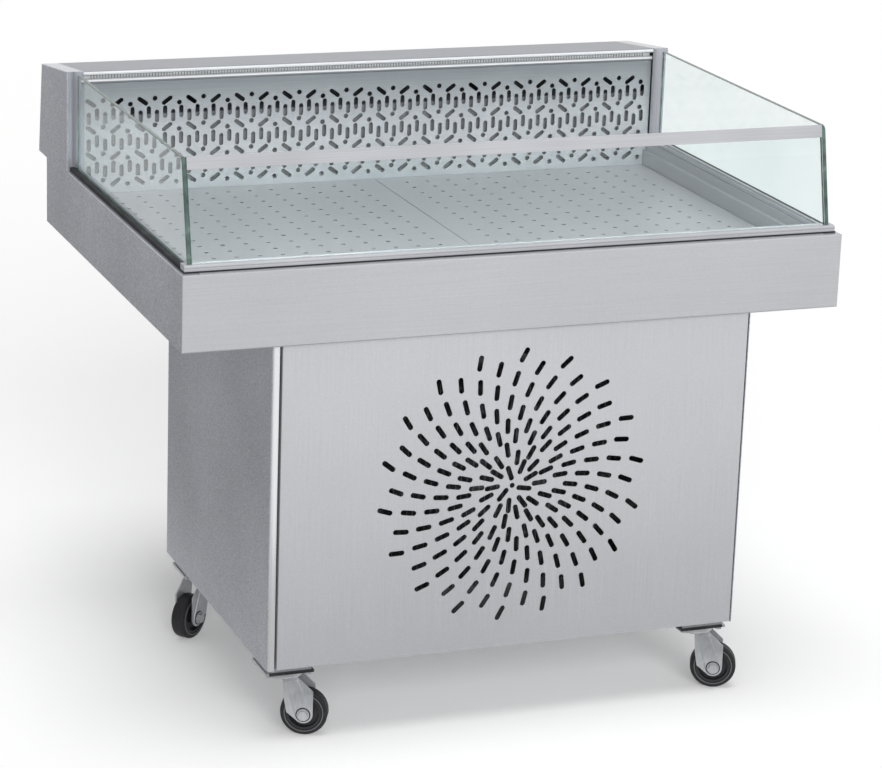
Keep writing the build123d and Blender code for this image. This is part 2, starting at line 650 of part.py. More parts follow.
# Front panel with the whirl of ventilation slots: curved arms of slots that turn as they go out
ARM_COUNT = 18
ARM_STEP = 360 / ARM_COUNT
ARM_START = 105.0
ARM_DRIFT = -0.072
LONG_ARM = (1.0, 0.822, 0.645, 0.465)
SHORT_ARM = (0.910, 0.738, 0.561, 0.384)
ODD_ARM_END = 0.216
EVEN_ARM_END = 0.281
HEART = (0.099, 0.157, 0.157)
TWIST_MIDDLE = 11.0
TWIST_RIM = -25.0


def whirl_slot(arm_angle, share):
    """One slot at the given share of the whirl's radius, on the arm that starts at arm_angle."""
    radius = share * WHIRL_RADIUS
    place = arm_angle + ARM_DRIFT * radius
    turn = place + TWIST_MIDDLE + (TWIST_RIM - TWIST_MIDDLE) * share
    with Locations((radius * cos(radians(place)), WHIRL_Z + radius * sin(radians(place)))):
        SlotOverall(*WHIRL_SLOT, rotation=turn)


PANEL_X = (-CABINET_HALF + CORNER_LAND + SEAM, CABINET_HALF - SHEET - SEAM / 2)
PANEL_LOW = CABINET_FOOT + 1.0
PANEL_HIGH = CABINET_TOP - 1.0
WHIRL_Z = (PANEL_LOW + PANEL_HIGH) / 2 + WHIRL_LIFT
with BuildPart() as front_panel:
    block(PANEL_X, (CABINET_FRONT, CABINET_FRONT + RETURN), (PANEL_LOW, PANEL_HIGH))
    front_face = front_panel.faces().sort_by(Axis.Y)[0]
    fillet(front_face.edges(), BEND)
    offset(amount=-SHEET, openings=front_panel.faces().sort_by(Axis.Y)[-1])
    with BuildSketch(front_plane(CABINET_FRONT - 1)):
        for arm in range(ARM_COUNT):
            angle = ARM_START + arm * ARM_STEP
            for share in LONG_ARM:
                whirl_slot(angle, share)
            for share in SHORT_ARM:
                whirl_slot(angle + ARM_STEP / 2, share)
            if arm % 2:
                whirl_slot(angle, ODD_ARM_END)
            else:
                whirl_slot(angle, EVEN_ARM_END)
                whirl_slot(angle, HEART[arm // 2 % 3])
        with Locations((0, WHIRL_Z)):
            Circle(WHIRL_SLOT[1] / 2)
    extrude(amount=-(SHEET + 2), mode=Mode.SUBTRACT)
save(front_panel, "front_panel")

# Rear service panel with pressed louvres
LOUVRE = (170.0, 9.0, 12.0)
LOUVRE_PITCH = 30.0
LOUVRE_ROWS = 9
LOUVRE_X = 190.0
LOUVRE_LIP = 1.5
REAR_EDGE = 470.0
with BuildPart() as rear_panel:
    skin = CABINET_REAR + SHEET
    block((-REAR_EDGE, REAR_EDGE), (CABINET_REAR, skin), (CABINET_FOOT + 6, CABINET_TOP - 7))
    for column in (-1, 1):
        x = column * LOUVRE_X - LOUVRE[0] / 2
        for row in range(LOUVRE_ROWS):
            z = WHIRL_Z + (row - (LOUVRE_ROWS - 1) / 2) * LOUVRE_PITCH
            opening = ((x, x + LOUVRE[0]), (CABINET_REAR - 1, skin + 1), (z, z + LOUVRE[2]))
            block(*opening, mode=Mode.SUBTRACT)
            root = CABINET_REAR + SHEET / 2
            hood = [
                (root, z + LOUVRE[2] + 4),
                (skin + LOUVRE[1], z + 1),
                (skin + LOUVRE[1], z - LOUVRE_LIP),
                (skin + LOUVRE[1] - SHEET, z - LOUVRE_LIP),
                (skin + LOUVRE[1] - SHEET, z),
                (root, z + LOUVRE[2] + LOUVRE_LIP),
            ]
            prism(Plane.YZ, side_points(hood), x - 1, LOUVRE[0] + 2)
    for side in (-1, 1):
        for z in SCREW_HEIGHTS:
            rod(side * SCREW_X, (CABINET_REAR - 5, CABINET_REAR + 5), z, SCREW_HOLE, mode=Mode.SUBTRACT)
save(rear_panel, "rear_panel")

# Base plate with turned-up sides and a welded pad over each caster, drilled for the casters
CASTERS = {
    "front_left": (-CASTER_X, CASTER_FRONT_D, -25.0),
    "front_right": (CASTER_X, CASTER_FRONT_D, -25.0),
    "rear_left": (-CASTER_X, CASTER_REAR_D, 220.0),
    "rear_right": (CASTER_X, CASTER_REAR_D, 20.0),
}
BASE_HALF = CABINET_HALF - SHEET
BASE_TOP = CABINET_FOOT + BASE_THICK
BASE_FLANGE = 25.0
BOLT_HOLE = 4.3


def caster_bolt_places():
    """Plan position of every caster bolt."""
    places = []
    for x, d, _ in CASTERS.values():
        for dx in (-PLATE_BOLTS[0] / 2, PLATE_BOLTS[0] / 2):
            for dy in (-PLATE_BOLTS[1] / 2, PLATE_BOLTS[1] / 2):
                places.append((x + dx, y_at(d) + dy))
    return places


def plate_limits(x, d, inset=0.0):
    """Plan limits, in x and in depth, of the caster plate whose middle is at x and d."""
    reach_x, reach_d = PLATE[0] / 2 - inset, PLATE[1] / 2 - inset
    return (x - reach_x, x + reach_x), (d - reach_d, d + reach_d)


with BuildPart() as base_plate:
    inner_d = (CABINET_FRONT + RETURN + 1, CABINET_REAR - 4)
    block((-BASE_HALF, BASE_HALF), inner_d, (CABINET_FOOT, BASE_TOP))
    for side in (-1, 1):
        flange = sorted((side * BASE_HALF, side * (BASE_HALF - BASE_THICK)))
        block(flange, inner_d, (CABINET_FOOT, BASE_TOP + BASE_FLANGE))
    for x, d, _ in CASTERS.values():
        block(*plate_limits(x, d, PAD_INSET), (PLATE_TOP, CABINET_FOOT))
    with BuildSketch(Plane.XY.offset(PLATE_TOP)):
        with Locations(*caster_bolt_places()):
            Circle(BOLT_HOLE)
    extrude(amount=BASE_THICK + PAD, mode=Mode.SUBTRACT)
save(base_plate, "base_plate")

# Caster plates: top plate, upper race and king pin, one set under each corner
RACE_RADIUS = 38.0
RACE_LOW = PLATE_UNDER - 7.0
WEB = (RACE_LOW - 10.0, RACE_LOW - 5.0)
KING_PIN = 6.0
RIVET = (WEB[0] - 4.0, 10.0)
with BuildPart() as caster_plates:
    for x, d, _ in CASTERS.values():
        block(*plate_limits(x, d), (PLATE_UNDER, PLATE_TOP))
        post(x, d, (RACE_LOW, PLATE_UNDER), RACE_RADIUS)
        post(x, d, (RIVET[0], RACE_LOW), KING_PIN)
        post(x, d, (RIVET[0], WEB[0] - GAP), RIVET[1])
    with BuildSketch(Plane.XY.offset(PLATE_UNDER)):
        with Locations(*caster_bolt_places()):
            Circle(BOLT_HOLE)
    extrude(amount=PLATE[2], mode=Mode.SUBTRACT)
save(caster_plates, "caster_plates")

# Caster bolts: hexagon head under the plate, nut on the base plate
BOLT = 4.0
BOLT_HEAD = (7.5, 5.0)
BOLT_NUT = 6.0
with BuildPart() as caster_bolts:
    for low, high, is_hexagon in (
        (PLATE_UNDER - BOLT_HEAD[1], PLATE_UNDER, True),
        (PLATE_UNDER, BASE_TOP, False),
        (BASE_TOP, BASE_TOP + BOLT_NUT, True),
    ):
        with BuildSketch(Plane.XY.offset(low)):
            with Locations(*caster_bolt_places()):
                if is_hexagon:
                    RegularPolygon(BOLT_HEAD[0], 6)
                else:
                    Circle(BOLT)
        extrude(amount=high - low)
save(caster_bolts, "caster_bolts")

# Casters: fork with its axle bolt, hub and tyre, each turned to its own trail angle
LEG_INNER = 18.5
LEG = 3.0
CROWN_RADIUS = 36.0
CROWN_ROUND = 3.0
BOSS = 18.0
LEG_TOP = (TRAIL - 40.0, TRAIL - 12.0)
LEG_OUTLINE = [
    (LEG_TOP[0], WEB[1]),
    (LEG_TOP[1], WEB[1]),
    (TRAIL + BOSS, WHEEL_RADIUS + 46),
    (TRAIL + BOSS, WHEEL_RADIUS),
    (TRAIL - 32.0, WHEEL_RADIUS + 3),
    (TRAIL - 37.0, WHEEL_RADIUS + 30),
]
WEB_U = (-22.0, LEG_TOP[1])
RIB = 2.0
RIB_TAPER = 35.0
RIB_BOSS = 15.5
RIB_TOP = [(TRAIL - 27.0, WEB[0] - 6), (TRAIL - 14.0, WEB[0] - 4)]
AXLE_PLAY = 0.2
WASHER = (12.0, 2.0)
NUT = (10.0, 6.0)
HUB_RADIUS = 34.0
HUB_HALF = LEG_INNER - 0.5
HUB_RIM = 5.0
HUB_BOSS = 14.0
HUB_WEB = 6.0
TYRE_ROUND = 6.0


def caster(name, x, d, angle):
    """The swivelling parts of one caster; angle is the way its wheel trails, from +X."""
    trail = Vector(cos(radians(angle)), sin(radians(angle)), 0)
    across = Vector(-trail.Y, trail.X, 0)
    pivot = Vector(x, y_at(d), 0)
    level = Plane(origin=pivot, x_dir=trail, z_dir=(0, 0, 1))
    upright = Plane(origin=pivot, x_dir=trail, z_dir=(trail.Y, -trail.X, 0))
    axle_plane = Plane(origin=pivot + trail * TRAIL + Vector(0, 0, WHEEL_RADIUS), x_dir=trail, z_dir=across)

    with BuildPart() as fork:
        for offset_across in (LEG_INNER, -LEG_INNER - LEG):
            with BuildSketch(upright.offset(offset_across)):
                with BuildLine():
                    Polyline(*LEG_OUTLINE, close=True)
                make_face()
                with Locations((TRAIL, WHEEL_RADIUS)):
                    Circle(BOSS)
                make_hull()
            extrude(amount=LEG)
        for side in (-1, 1):
            with BuildSketch(upright.offset(side * (LEG_INNER + LEG))):
                with Locations((TRAIL, WHEEL_RADIUS)):
                    Circle(RIB_BOSS)
                with Locations(*RIB_TOP):
                    Circle(AXLE_RADIUS)
                make_hull()
            extrude(amount=side * RIB, taper=RIB_TAPER)
        with BuildSketch(axle_plane):
            Circle(AXLE_RADIUS + AXLE_PLAY)
        extrude(amount=2 * LEG_INNER, both=True, mode=Mode.SUBTRACT)
        with BuildSketch(level.offset(WEB[0])):
            with Locations((sum(WEB_U) / 2, 0)):
                Rectangle(WEB_U[1] - WEB_U[0], 2 * (LEG_INNER + LEG))
        extrude(amount=WEB[1] - WEB[0])
        with BuildSketch(level.offset(WEB[1])):
            Circle(CROWN_RADIUS)
        extrude(amount=RACE_LOW - GAP - WEB[1])
        fillet(fork.edges().filter_by(GeomType.CIRCLE).sort_by(Axis.Z)[-1], CROWN_ROUND)
        with BuildSketch(level.offset(WEB[0])):
            Circle(KING_PIN + RUNNING)
        extrude(amount=RACE_LOW - WEB[0], mode=Mode.SUBTRACT)
        head = LEG_INNER + LEG + RIB + WELD
        with BuildSketch(axle_plane):
            Circle(AXLE_RADIUS)
        extrude(amount=head, both=True)
        for side in (-1, 1):
            with BuildSketch(axle_plane.offset(side * head)):
                Circle(WASHER[0])
            extrude(amount=side * WASHER[1])
            with BuildSketch(axle_plane.offset(side * (head + WASHER[1]))):
                RegularPolygon(NUT[0], 6)
            extrude(amount=side * NUT[1])
    save(fork, f"caster_fork_{name}")

    with BuildPart() as hub:
        with BuildSketch(axle_plane):
            Circle(HUB_RADIUS)
        extrude(amount=WHEEL_WIDTH / 2 - 1, both=True)
        for side in (-1, 1):
            with BuildSketch(axle_plane.offset(side * HUB_WEB)):
                Circle(HUB_RADIUS - HUB_RIM)
                Circle(HUB_BOSS, mode=Mode.SUBTRACT)
            extrude(amount=side * WHEEL_WIDTH, mode=Mode.SUBTRACT)
        with BuildSketch(axle_plane):
            Circle(HUB_BOSS)
        extrude(amount=HUB_HALF, both=True)
        with BuildSketch(axle_plane):
            Circle(AXLE_RADIUS + RUNNING)
        extrude(amount=WHEEL_WIDTH, both=True, mode=Mode.SUBTRACT)
    save(hub, f"caster_hub_{name}")

    with BuildPart() as tyre:
        with BuildSketch(axle_plane):
            Circle(WHEEL_RADIUS)
        extrude(amount=WHEEL_WIDTH / 2, both=True)
        fillet(tyre.edges().filter_by(GeomType.CIRCLE), TYRE_ROUND)
        with BuildSketch(axle_plane):
            Circle(HUB_RADIUS)
        extrude(amount=WHEEL_WIDTH, both=True, mode=Mode.SUBTRACT)
    save(tyre, f"caster_tyre_{name}")


for caster_name, (caster_x, caster_d, caster_angle) in CASTERS.items():
    caster(caster_name, caster_x, caster_d, caster_angle)

# Condenser behind the front grille: fins on tubes between two end plates
COIL_HALF = 220.0
COIL_D = (62.0, 120.0)
COIL_Z = (WHIRL_Z - 215, WHIRL_Z + 215)
COIL_PITCH = 12.0
COIL_MIDDLE_D = sum(COIL_D) / 2
COIL_ROWS = 8
COIL_ROW_PITCH = 50.0
with BuildPart() as condenser:
    fin_count = int(2 * COIL_HALF / COIL_PITCH) - 1
    with Locations((0, y_at(COIL_MIDDLE_D), WHIRL_Z)):
        with GridLocations(COIL_PITCH, 1, fin_count, 1):
            Box(FIN, COIL_D[1] - COIL_D[0], COIL_Z[1] - COIL_Z[0])
    for row in range(COIL_ROWS):
        z = WHIRL_Z + (row - (COIL_ROWS - 1) / 2) * COIL_ROW_PITCH
        with Locations((0, y_at(COIL_MIDDLE_D), z)):
            Cylinder(TUBE, 2 * COIL_HALF, rotation=(0, 90, 0))
    for side in (-1, 1):
        end = sorted((side * COIL_HALF, side * (COIL_HALF - SHEET)))
        block(end, COIL_D, COIL_Z)
save(condenser, "condenser")

# Fan shroud: a standing plate with a collar round the fan
COLLAR = 178.0
COLLAR_DEPTH = 45.0
SHROUD_D = COIL_D[1]
SHROUD_FOOT = 60.0
SHROUD_SHEET = 3.0
SHROUD_EDGE = 8.0
with BuildPart() as fan_shroud:
    across = (-COIL_HALF - SHROUD_EDGE, COIL_HALF + SHROUD_EDGE)
    block(across, (SHROUD_D, SHROUD_D + SHROUD_SHEET), (BASE_TOP, COIL_Z[1] + SHROUD_EDGE))
    block(across, (SHROUD_D, SHROUD_D + SHROUD_FOOT), (BASE_TOP, BASE_TOP + SHROUD_SHEET))
    rod(0, (SHROUD_D, SHROUD_D + COLLAR_DEPTH), WHIRL_Z, COLLAR + SHROUD_SHEET)
    rod(0, (SHROUD_D - 1, SHROUD_D + COLLAR_DEPTH + 1), WHIRL_Z, COLLAR, mode=Mode.SUBTRACT)
save(fan_shroud, "fan_shroud")

# Fan motor on four arms that stand on the shroud
FAN_HUB_D = (176.0, 214.0)
FAN_MOTOR = 42.0
FAN_MOTOR_D = (225.0, 300.0)
FAN_ARM = (192.0, 6.0, 12.0)
FAN_ARM_POST = 5.0
SHAFT = 4.0
with BuildPart() as condenser_fan_motor:
    rod(0, FAN_MOTOR_D, WHIRL_Z, FAN_MOTOR)
    rod(0, (FAN_HUB_D[0] + 2, FAN_MOTOR_D[0]), WHIRL_Z, SHAFT)
    for quarter in range(4):
        turn = 45 + 90 * quarter
        foot_x = FAN_ARM[0] * cos(radians(turn))
        foot_z = WHIRL_Z + FAN_ARM[0] * sin(radians(turn))
        rod(foot_x, (SHROUD_D + SHROUD_SHEET, FAN_MOTOR_D[0] + FAN_ARM[1]), foot_z, FAN_ARM_POST)
        with Locations((foot_x / 2, y_at(FAN_MOTOR_D[0] + FAN_ARM[1] / 2), (WHIRL_Z + foot_z) / 2)):
            Box(*FAN_ARM, rotation=(0, -turn, 0))
save(condenser_fan_motor, "condenser_fan_motor")

# Condenser fan: a hub with five pitched blades, bored for the motor shaft
FAN_HUB = 38.0
FAN_BLADE = (138.0, 2.0, 78.0)
FAN_BLADE_REACH = 100.0
FAN_BLADE_COUNT = 5
FAN_BLADE_PITCH = 26.0
with BuildPart() as condenser_fan:
    rod(0, FAN_HUB_D, WHIRL_Z, FAN_HUB)
    with Locations((0, y_at(sum(FAN_HUB_D) / 2), WHIRL_Z)):
        for blade in range(FAN_BLADE_COUNT):
            turn = 360 / FAN_BLADE_COUNT * blade
            middle = (FAN_BLADE_REACH * cos(radians(turn)), 0, FAN_BLADE_REACH * sin(radians(turn)))
            with Locations(Location(middle, (0, -turn, 0))):
                Box(*FAN_BLADE, rotation=(FAN_BLADE_PITCH, 0, 0))
    rod(0, (FAN_HUB_D[0] + 1, FAN_HUB_D[1] + 1), WHIRL_Z, SHAFT + RUNNING, mode=Mode.SUBTRACT)
save(condenser_fan, "condenser_fan")

# Compressor: welded pot on a foot plate, with its stubs and terminal cover
COMPRESSOR_X = -250.0
COMPRESSOR_D = 470.0
FOOT_Z = BASE_TOP + 17
FOOT = (100.0, 75.0, 4.0)
POT = 92.0
POT_Z = (FOOT_Z + FOOT[2], FOOT_Z + 254)
POT_ROUND = 60.0
POT_WELD = (FOOT_Z + 120, FOOT_Z + 126)
POT_WELD_EDGE = 6.0
DISCHARGE_STUB = (FOOT_Z + 230, FOOT_Z + 272)
STUB = 7.0
SUCTION_STUB_Z = FOOT_Z + 170
SUCTION_STUB_END = COMPRESSOR_X + 130
SUCTION_STUB = 11.0
TERMINAL_HALF = 35.0
TERMINAL_D = (COMPRESSOR_D + 80, COMPRESSOR_D + 115)
TERMINAL_Z = (FOOT_Z + 110, FOOT_Z + 190)
with BuildPart() as compressor:
    foot_x = (COMPRESSOR_X - FOOT[0], COMPRESSOR_X + FOOT[0])
    foot_d = (COMPRESSOR_D - FOOT[1], COMPRESSOR_D + FOOT[1])
    block(foot_x, foot_d, (FOOT_Z, POT_Z[0]))
    post(COMPRESSOR_X, COMPRESSOR_D, POT_Z, POT)
    rims = compressor.edges().filter_by(GeomType.CIRCLE).group_by(Axis.Z)
    fillet(rims[-1], POT_ROUND)
    post(COMPRESSOR_X, COMPRESSOR_D, POT_WELD, POT + POT_WELD_EDGE)
    post(COMPRESSOR_X, COMPRESSOR_D, DISCHARGE_STUB, STUB)
    stub_length = SUCTION_STUB_END - COMPRESSOR_X - POT / 2
    with Locations((SUCTION_STUB_END - stub_length / 2, y_at(COMPRESSOR_D), SUCTION_STUB_Z)):
        Cylinder(SUCTION_STUB, stub_length, rotation=(0, 90, 0))
    terminal_x = (COMPRESSOR_X - TERMINAL_HALF, COMPRESSOR_X + TERMINAL_HALF)
    block(terminal_x, TERMINAL_D, TERMINAL_Z)
save(compressor, "compressor")

MOUNT_OFFSET = (80.0, 58.0)
MOUNT_RADIUS = 13.0
with BuildPart() as compressor_mounts:
    for dx in (-MOUNT_OFFSET[0], MOUNT_OFFSET[0]):
        for dd in (-MOUNT_OFFSET[1], MOUNT_OFFSET[1]):
            post(COMPRESSOR_X + dx, COMPRESSOR_D + dd, (BASE_TOP, FOOT_Z), MOUNT_RADIUS)
save(compressor_mounts, "compressor_mounts")

# Liquid receiver with an inlet stub and an outlet stub
RECEIVER_X = 150.0
RECEIVER_D = LIQUID_D
RECEIVER = 50.0
RECEIVER_ROUND = 30.0
RECEIVER_TOP = BASE_TOP + 230
RECEIVER_OUTLET_Z = RECEIVER_TOP + 13
RECEIVER_INLET_Z = BASE_TOP + 130
RECEIVER_INLET_END = RECEIVER_X + 62
with BuildPart() as receiver:
    post(RECEIVER_X, RECEIVER_D, (BASE_TOP, RECEIVER_TOP), RECEIVER)
    ends = receiver.edges().filter_by(GeomType.CIRCLE)
    fillet(ends.sort_by(Axis.Z)[-1], RECEIVER_ROUND)
    post(RECEIVER_X, RECEIVER_D, (RECEIVER_TOP - STUB, RECEIVER_OUTLET_Z), STUB)
    inlet_length = RECEIVER_INLET_END - RECEIVER_X - RECEIVER / 2
    with Locations((RECEIVER_INLET_END - inlet_length / 2, y_at(RECEIVER_D), RECEIVER_INLET_Z)):
        Cylinder(STUB, inlet_length, rotation=(0, 90, 0))
save(receiver, "receiver")

# Refrigerant lines, each one tube with bends
DUCT_Z = SKIRT + 21
CROSSOVER_Z = SKIRT - 117
DISCHARGE_Z = CROSSOVER_Z - 80
DISCHARGE_X = COMPRESSOR_X - 20
DISCHARGE_TURN_D = COMPRESSOR_D - 160
LIQUID_TURN_X = COIL_HALF + 40
SUCTION_BEND = 19.0
LIQUID_BEND = 16.0


def line(points, radius, bend):
    """Tube along a route of straight runs, given as (x, depth, z) points."""
    route = [(x, y_at(d), z) for x, d, z in points]
    with BuildLine() as path:
        FilletPolyline(*route, radius=bend)
    with BuildSketch(Plane(origin=path.line @ 0, z_dir=path.line % 0)) as profile:
        Circle(radius)
    sweep(profile.sketch, path=path.line)


SUCTION_ROUTE = [
    (SUCTION_STUB_END, SUCTION_D, SUCTION_STUB_Z),
    (SUCTION_X, SUCTION_D, SUCTION_STUB_Z),
    (SUCTION_X, SUCTION_D, DUCT_Z),
    (SUCTION_X, TUBE_D[1], DUCT_Z),
    (SUCTION_X, TUBE_D[1], UPSTAND_FOOT),
]
LIQUID_ROUTE = [
    (RECEIVER_X, LIQUID_D, RECEIVER_OUTLET_Z),
    (RECEIVER_X, LIQUID_D, CROSSOVER_Z),
    (LIQUID_X, LIQUID_D, CROSSOVER_Z),
    (LIQUID_X, LIQUID_D, DUCT_Z),
    (LIQUID_X, TUBE_D[0], DUCT_Z),
    (LIQUID_X, TUBE_D[0], UPSTAND_FOOT),
]
DISCHARGE_ROUTE = [
    (COMPRESSOR_X, COMPRESSOR_D, DISCHARGE_STUB[1]),
    (COMPRESSOR_X, COMPRESSOR_D, DISCHARGE_Z),
    (DISCHARGE_X, DISCHARGE_TURN_D, DISCHARGE_Z),
    (DISCHARGE_X, COIL_MIDDLE_D, DISCHARGE_Z),
    (-COIL_HALF, COIL_MIDDLE_D, DISCHARGE_Z),
]
CONDENSATE_ROUTE = [
    (COIL_HALF, COIL_MIDDLE_D, RECEIVER_INLET_Z),
    (LIQUID_TURN_X, COIL_MIDDLE_D, RECEIVER_INLET_Z),
    (LIQUID_TURN_X, RECEIVER_D, RECEIVER_INLET_Z),
    (RECEIVER_INLET_END, RECEIVER_D, RECEIVER_INLET_Z),
]
with BuildPart() as refrigerant_lines:
    line(SUCTION_ROUTE, SUCTION_RADIUS, SUCTION_BEND)
    line(LIQUID_ROUTE, LIQUID_RADIUS, LIQUID_BEND)
    line(DISCHARGE_ROUTE, LIQUID_RADIUS, LIQUID_BEND)
    line(CONDENSATE_ROUTE, LIQUID_RADIUS, LIQUID_BEND)
save(refrigerant_lines, "refrigerant_lines")

# Electrical box on the right-hand side wall, with a raised lid
ELECTRICAL = (100.0, 200.0, 220.0)
ELECTRICAL_D = 300.0
ELECTRICAL_Z = CABINET_FOOT + 294.0
ELECTRICAL_ROUND = 6.0
LID = 2.5
LID_EDGE = 4.0
with BuildPart() as electrical_box:
    lid_x = BASE_HALF - ELECTRICAL[0]
    box_d = (ELECTRICAL_D, ELECTRICAL_D + ELECTRICAL[1])
    box_z = (ELECTRICAL_Z, ELECTRICAL_Z + ELECTRICAL[2])
    block((lid_x, BASE_HALF), box_d, box_z)
    upright_edges = electrical_box.edges().filter_by(Axis.Z)
    fillet(upright_edges.group_by(Axis.X)[0], ELECTRICAL_ROUND)
    lid_d = (box_d[0] + LID_EDGE, box_d[1] - LID_EDGE)
    block((lid_x - LID, lid_x), lid_d, (box_z[0] + LID_EDGE, box_z[1] - LID_EDGE))
save(electrical_box, "electrical_box")

# Controller with a window and three keys
BEZEL = (76.0, 35.0, 6.0)
BEZEL_ROUND = 1.5
BEZEL_REAR = BOX_REAR + BEZEL[2]
CASE_DEPTH = 55.0
CASE_PLAY = 0.5
WINDOW_HALF = 26.0
WINDOW_Z = (CONTROL_Z - 3, CONTROL_Z + 12)
WINDOW_DEPTH = 1.0
KEY_RADIUS = 3.6
KEY_X = (-22.0, -10.0, 2.0)
KEY_Z = CONTROL_Z - 9
KEY_WELL = 4.5
KEY_ROOT = 3.0
KEY_PROUD = 1.5
KEY_ROUND = 0.6


def around(middle, size):
    """Limits of a length centred on middle."""
    return (middle - size / 2, middle + size / 2)


with BuildPart() as controller:
    block(around(CONTROLLER_X, BEZEL[0]), (BOX_REAR, BEZEL_REAR), around(CONTROL_Z, BEZEL[1]))
    rear_face = controller.faces().sort_by(Axis.Y)[-1]
    fillet(rear_face.edges(), BEZEL_ROUND)
    case_x = around(CONTROLLER_X, CONTROLLER[0] - 2 * CASE_PLAY)
    case_z = around(CONTROL_Z, CONTROLLER[1] - 2 * CASE_PLAY)
    block(case_x, (BOX_REAR - CASE_DEPTH, BOX_REAR), case_z)
    window_d = (BEZEL_REAR - WINDOW_DEPTH, BEZEL_REAR + 1)
    block(around(CONTROLLER_X, 2 * WINDOW_HALF), window_d, WINDOW_Z, mode=Mode.SUBTRACT)
    for key_x in KEY_X:
        key_well = (BEZEL_REAR - KEY_WELL, BEZEL_REAR + 1)
        rod(CONTROLLER_X + key_x, key_well, KEY_Z, KEY_RADIUS + GAP, mode=Mode.SUBTRACT)
save(controller, "controller")

for key_name, key_x in zip(("set", "down", "up"), KEY_X):
    with BuildPart() as key:
        rod(CONTROLLER_X + key_x, (BEZEL_REAR - KEY_ROOT, BEZEL_REAR + KEY_PROUD), KEY_Z, KEY_RADIUS)
        fillet(key.edges().filter_by(GeomType.CIRCLE).sort_by(Axis.Y)[-1], KEY_ROUND)
    save(key, f"key_{key_name}")

# Power inlet: an appliance socket under a rocker switch in one frame
INLET_FRAME = (32.0, 54.0, 3.0)
INLET_BODY = (26.0, 46.0, 22.0)
SOCKET = (24.0, 16.0)
SOCKET_DEPTH = 16.0
BLADES = ((-7.0, -13.0), (0.0, -9.0), (7.0, -13.0))
CONTACT = (2.0, 4.0)
CONTACT_D = (BOX_REAR - 17, BOX_REAR - 2)
ROCKER_Z = CONTROL_Z + 14
ROCKER = (19.0, 13.0)
ROCKER_WELL = 14.0
ROCKER_PLAY = 0.5
ROCKER_PIN = 1.5
ROCKER_D = BOX_REAR - 4
with BuildPart() as power_inlet:
    frame_d = (BOX_REAR, BOX_REAR + INLET_FRAME[2])
    block(around(INLET_X, INLET_FRAME[0]), frame_d, around(CONTROL_Z, INLET_FRAME[1]))
    body_d = (BOX_REAR - INLET_BODY[2], BOX_REAR)
    block(around(INLET_X, INLET_BODY[0]), body_d, around(CONTROL_Z, INLET_BODY[1]))
    socket_z = (CONTROL_Z - 4 - SOCKET[1], CONTROL_Z - 4)
    socket_d = (BOX_REAR - SOCKET_DEPTH, frame_d[1] + 1)
    block(around(INLET_X, SOCKET[0]), socket_d, socket_z, mode=Mode.SUBTRACT)
    for blade_x, blade_z in BLADES:
        block(around(INLET_X + blade_x, CONTACT[0]), CONTACT_D, around(CONTROL_Z + blade_z, CONTACT[1]))
    well_d = (BOX_REAR - ROCKER_WELL, frame_d[1] + 1)
    well_x = around(INLET_X, ROCKER[0] + 2 * ROCKER_PLAY)
    block(well_x, well_d, around(ROCKER_Z, ROCKER[1] + 2 * ROCKER_PLAY), mode=Mode.SUBTRACT)
    with Locations((INLET_X, y_at(ROCKER_D), ROCKER_Z)):
        Cylinder(ROCKER_PIN, ROCKER[0] + 2, rotation=(0, 90, 0))
save(power_inlet, "power_inlet")

ROCKER_TILT = 10.0
ROCKER_HALF = ROCKER[1] / 2 - 1.1
ROCKER_ROOT = -4.0
ROCKER_PROUD = 8.0
ROCKER_DISH = 6.4
with BuildPart() as switch_rocker:
    tilt = radians(ROCKER_TILT)
    section = [
        (-ROCKER_HALF, ROCKER_ROOT),
        (ROCKER_HALF, ROCKER_ROOT),
        (ROCKER_HALF, ROCKER_PROUD),
        (0, ROCKER_DISH),
        (-ROCKER_HALF, ROCKER_PROUD),
    ]
    outline = []
    for up, out in section:
        tilted_d = ROCKER_D + out * cos(tilt) - up * sin(tilt)
        tilted_z = ROCKER_Z + up * cos(tilt) + out * sin(tilt)
        outline.append((tilted_d, tilted_z))
    prism(Plane.YZ, side_points(outline), INLET_X - ROCKER[0] / 2, ROCKER[0])
    with Locations((INLET_X, y_at(ROCKER_D), ROCKER_Z)):
        Cylinder(ROCKER_PIN + RUNNING, ROCKER[0] + 2, rotation=(0, 90, 0), mode=Mode.SUBTRACT)
save(switch_rocker, "switch_rocker")

# Drain: pipe from the well floor to a ball valve with a plain spigot, and the valve's lever
SPIGOT_RADIUS = 13.4
VALVE_Z = SKIRT - 57.0
VALVE = 21.0
VALVE_HALF = 24.0
VALVE_BORE = 10.0
VALVE_LAP = 4.0
SPIGOT_LOW = VALVE_Z - 60.0
FLANGE = 4.0
BONNET = 11.0
STEM = 5.0
STEM_D = DRAIN_D + 26
STEM_END = STEM_D + 9
STEM_CAP = (STEM_D + 4.6, 9.0)
with BuildPart() as drain_valve:
    post(DRAIN_X, DRAIN_D, (SPIGOT_LOW, VALVE_Z - VALVE_HALF + VALVE_LAP), SPIGOT_RADIUS)
    post(DRAIN_X, DRAIN_D, (VALVE_Z - VALVE_HALF, VALVE_Z + VALVE_HALF), VALVE)
    post(DRAIN_X, DRAIN_D, (VALVE_Z + VALVE_HALF - VALVE_LAP, WELL_FLOOR), DRAIN_BORE - 1)
    post(DRAIN_X, DRAIN_D, (WELL_FLOOR - FLANGE, WELL_FLOOR), DRAIN_BORE + FLANGE)
    rod(DRAIN_X, (DRAIN_D, STEM_D), VALVE_Z, BONNET)
    rod(DRAIN_X, (STEM_D, STEM_END), VALVE_Z, STEM)
    rod(DRAIN_X, (STEM_CAP[0], STEM_END), VALVE_Z, STEM_CAP[1])
    post(DRAIN_X, DRAIN_D, (SPIGOT_LOW - 1, WELL_FLOOR + 1), VALVE_BORE, mode=Mode.SUBTRACT)
save(drain_valve, "drain_valve")

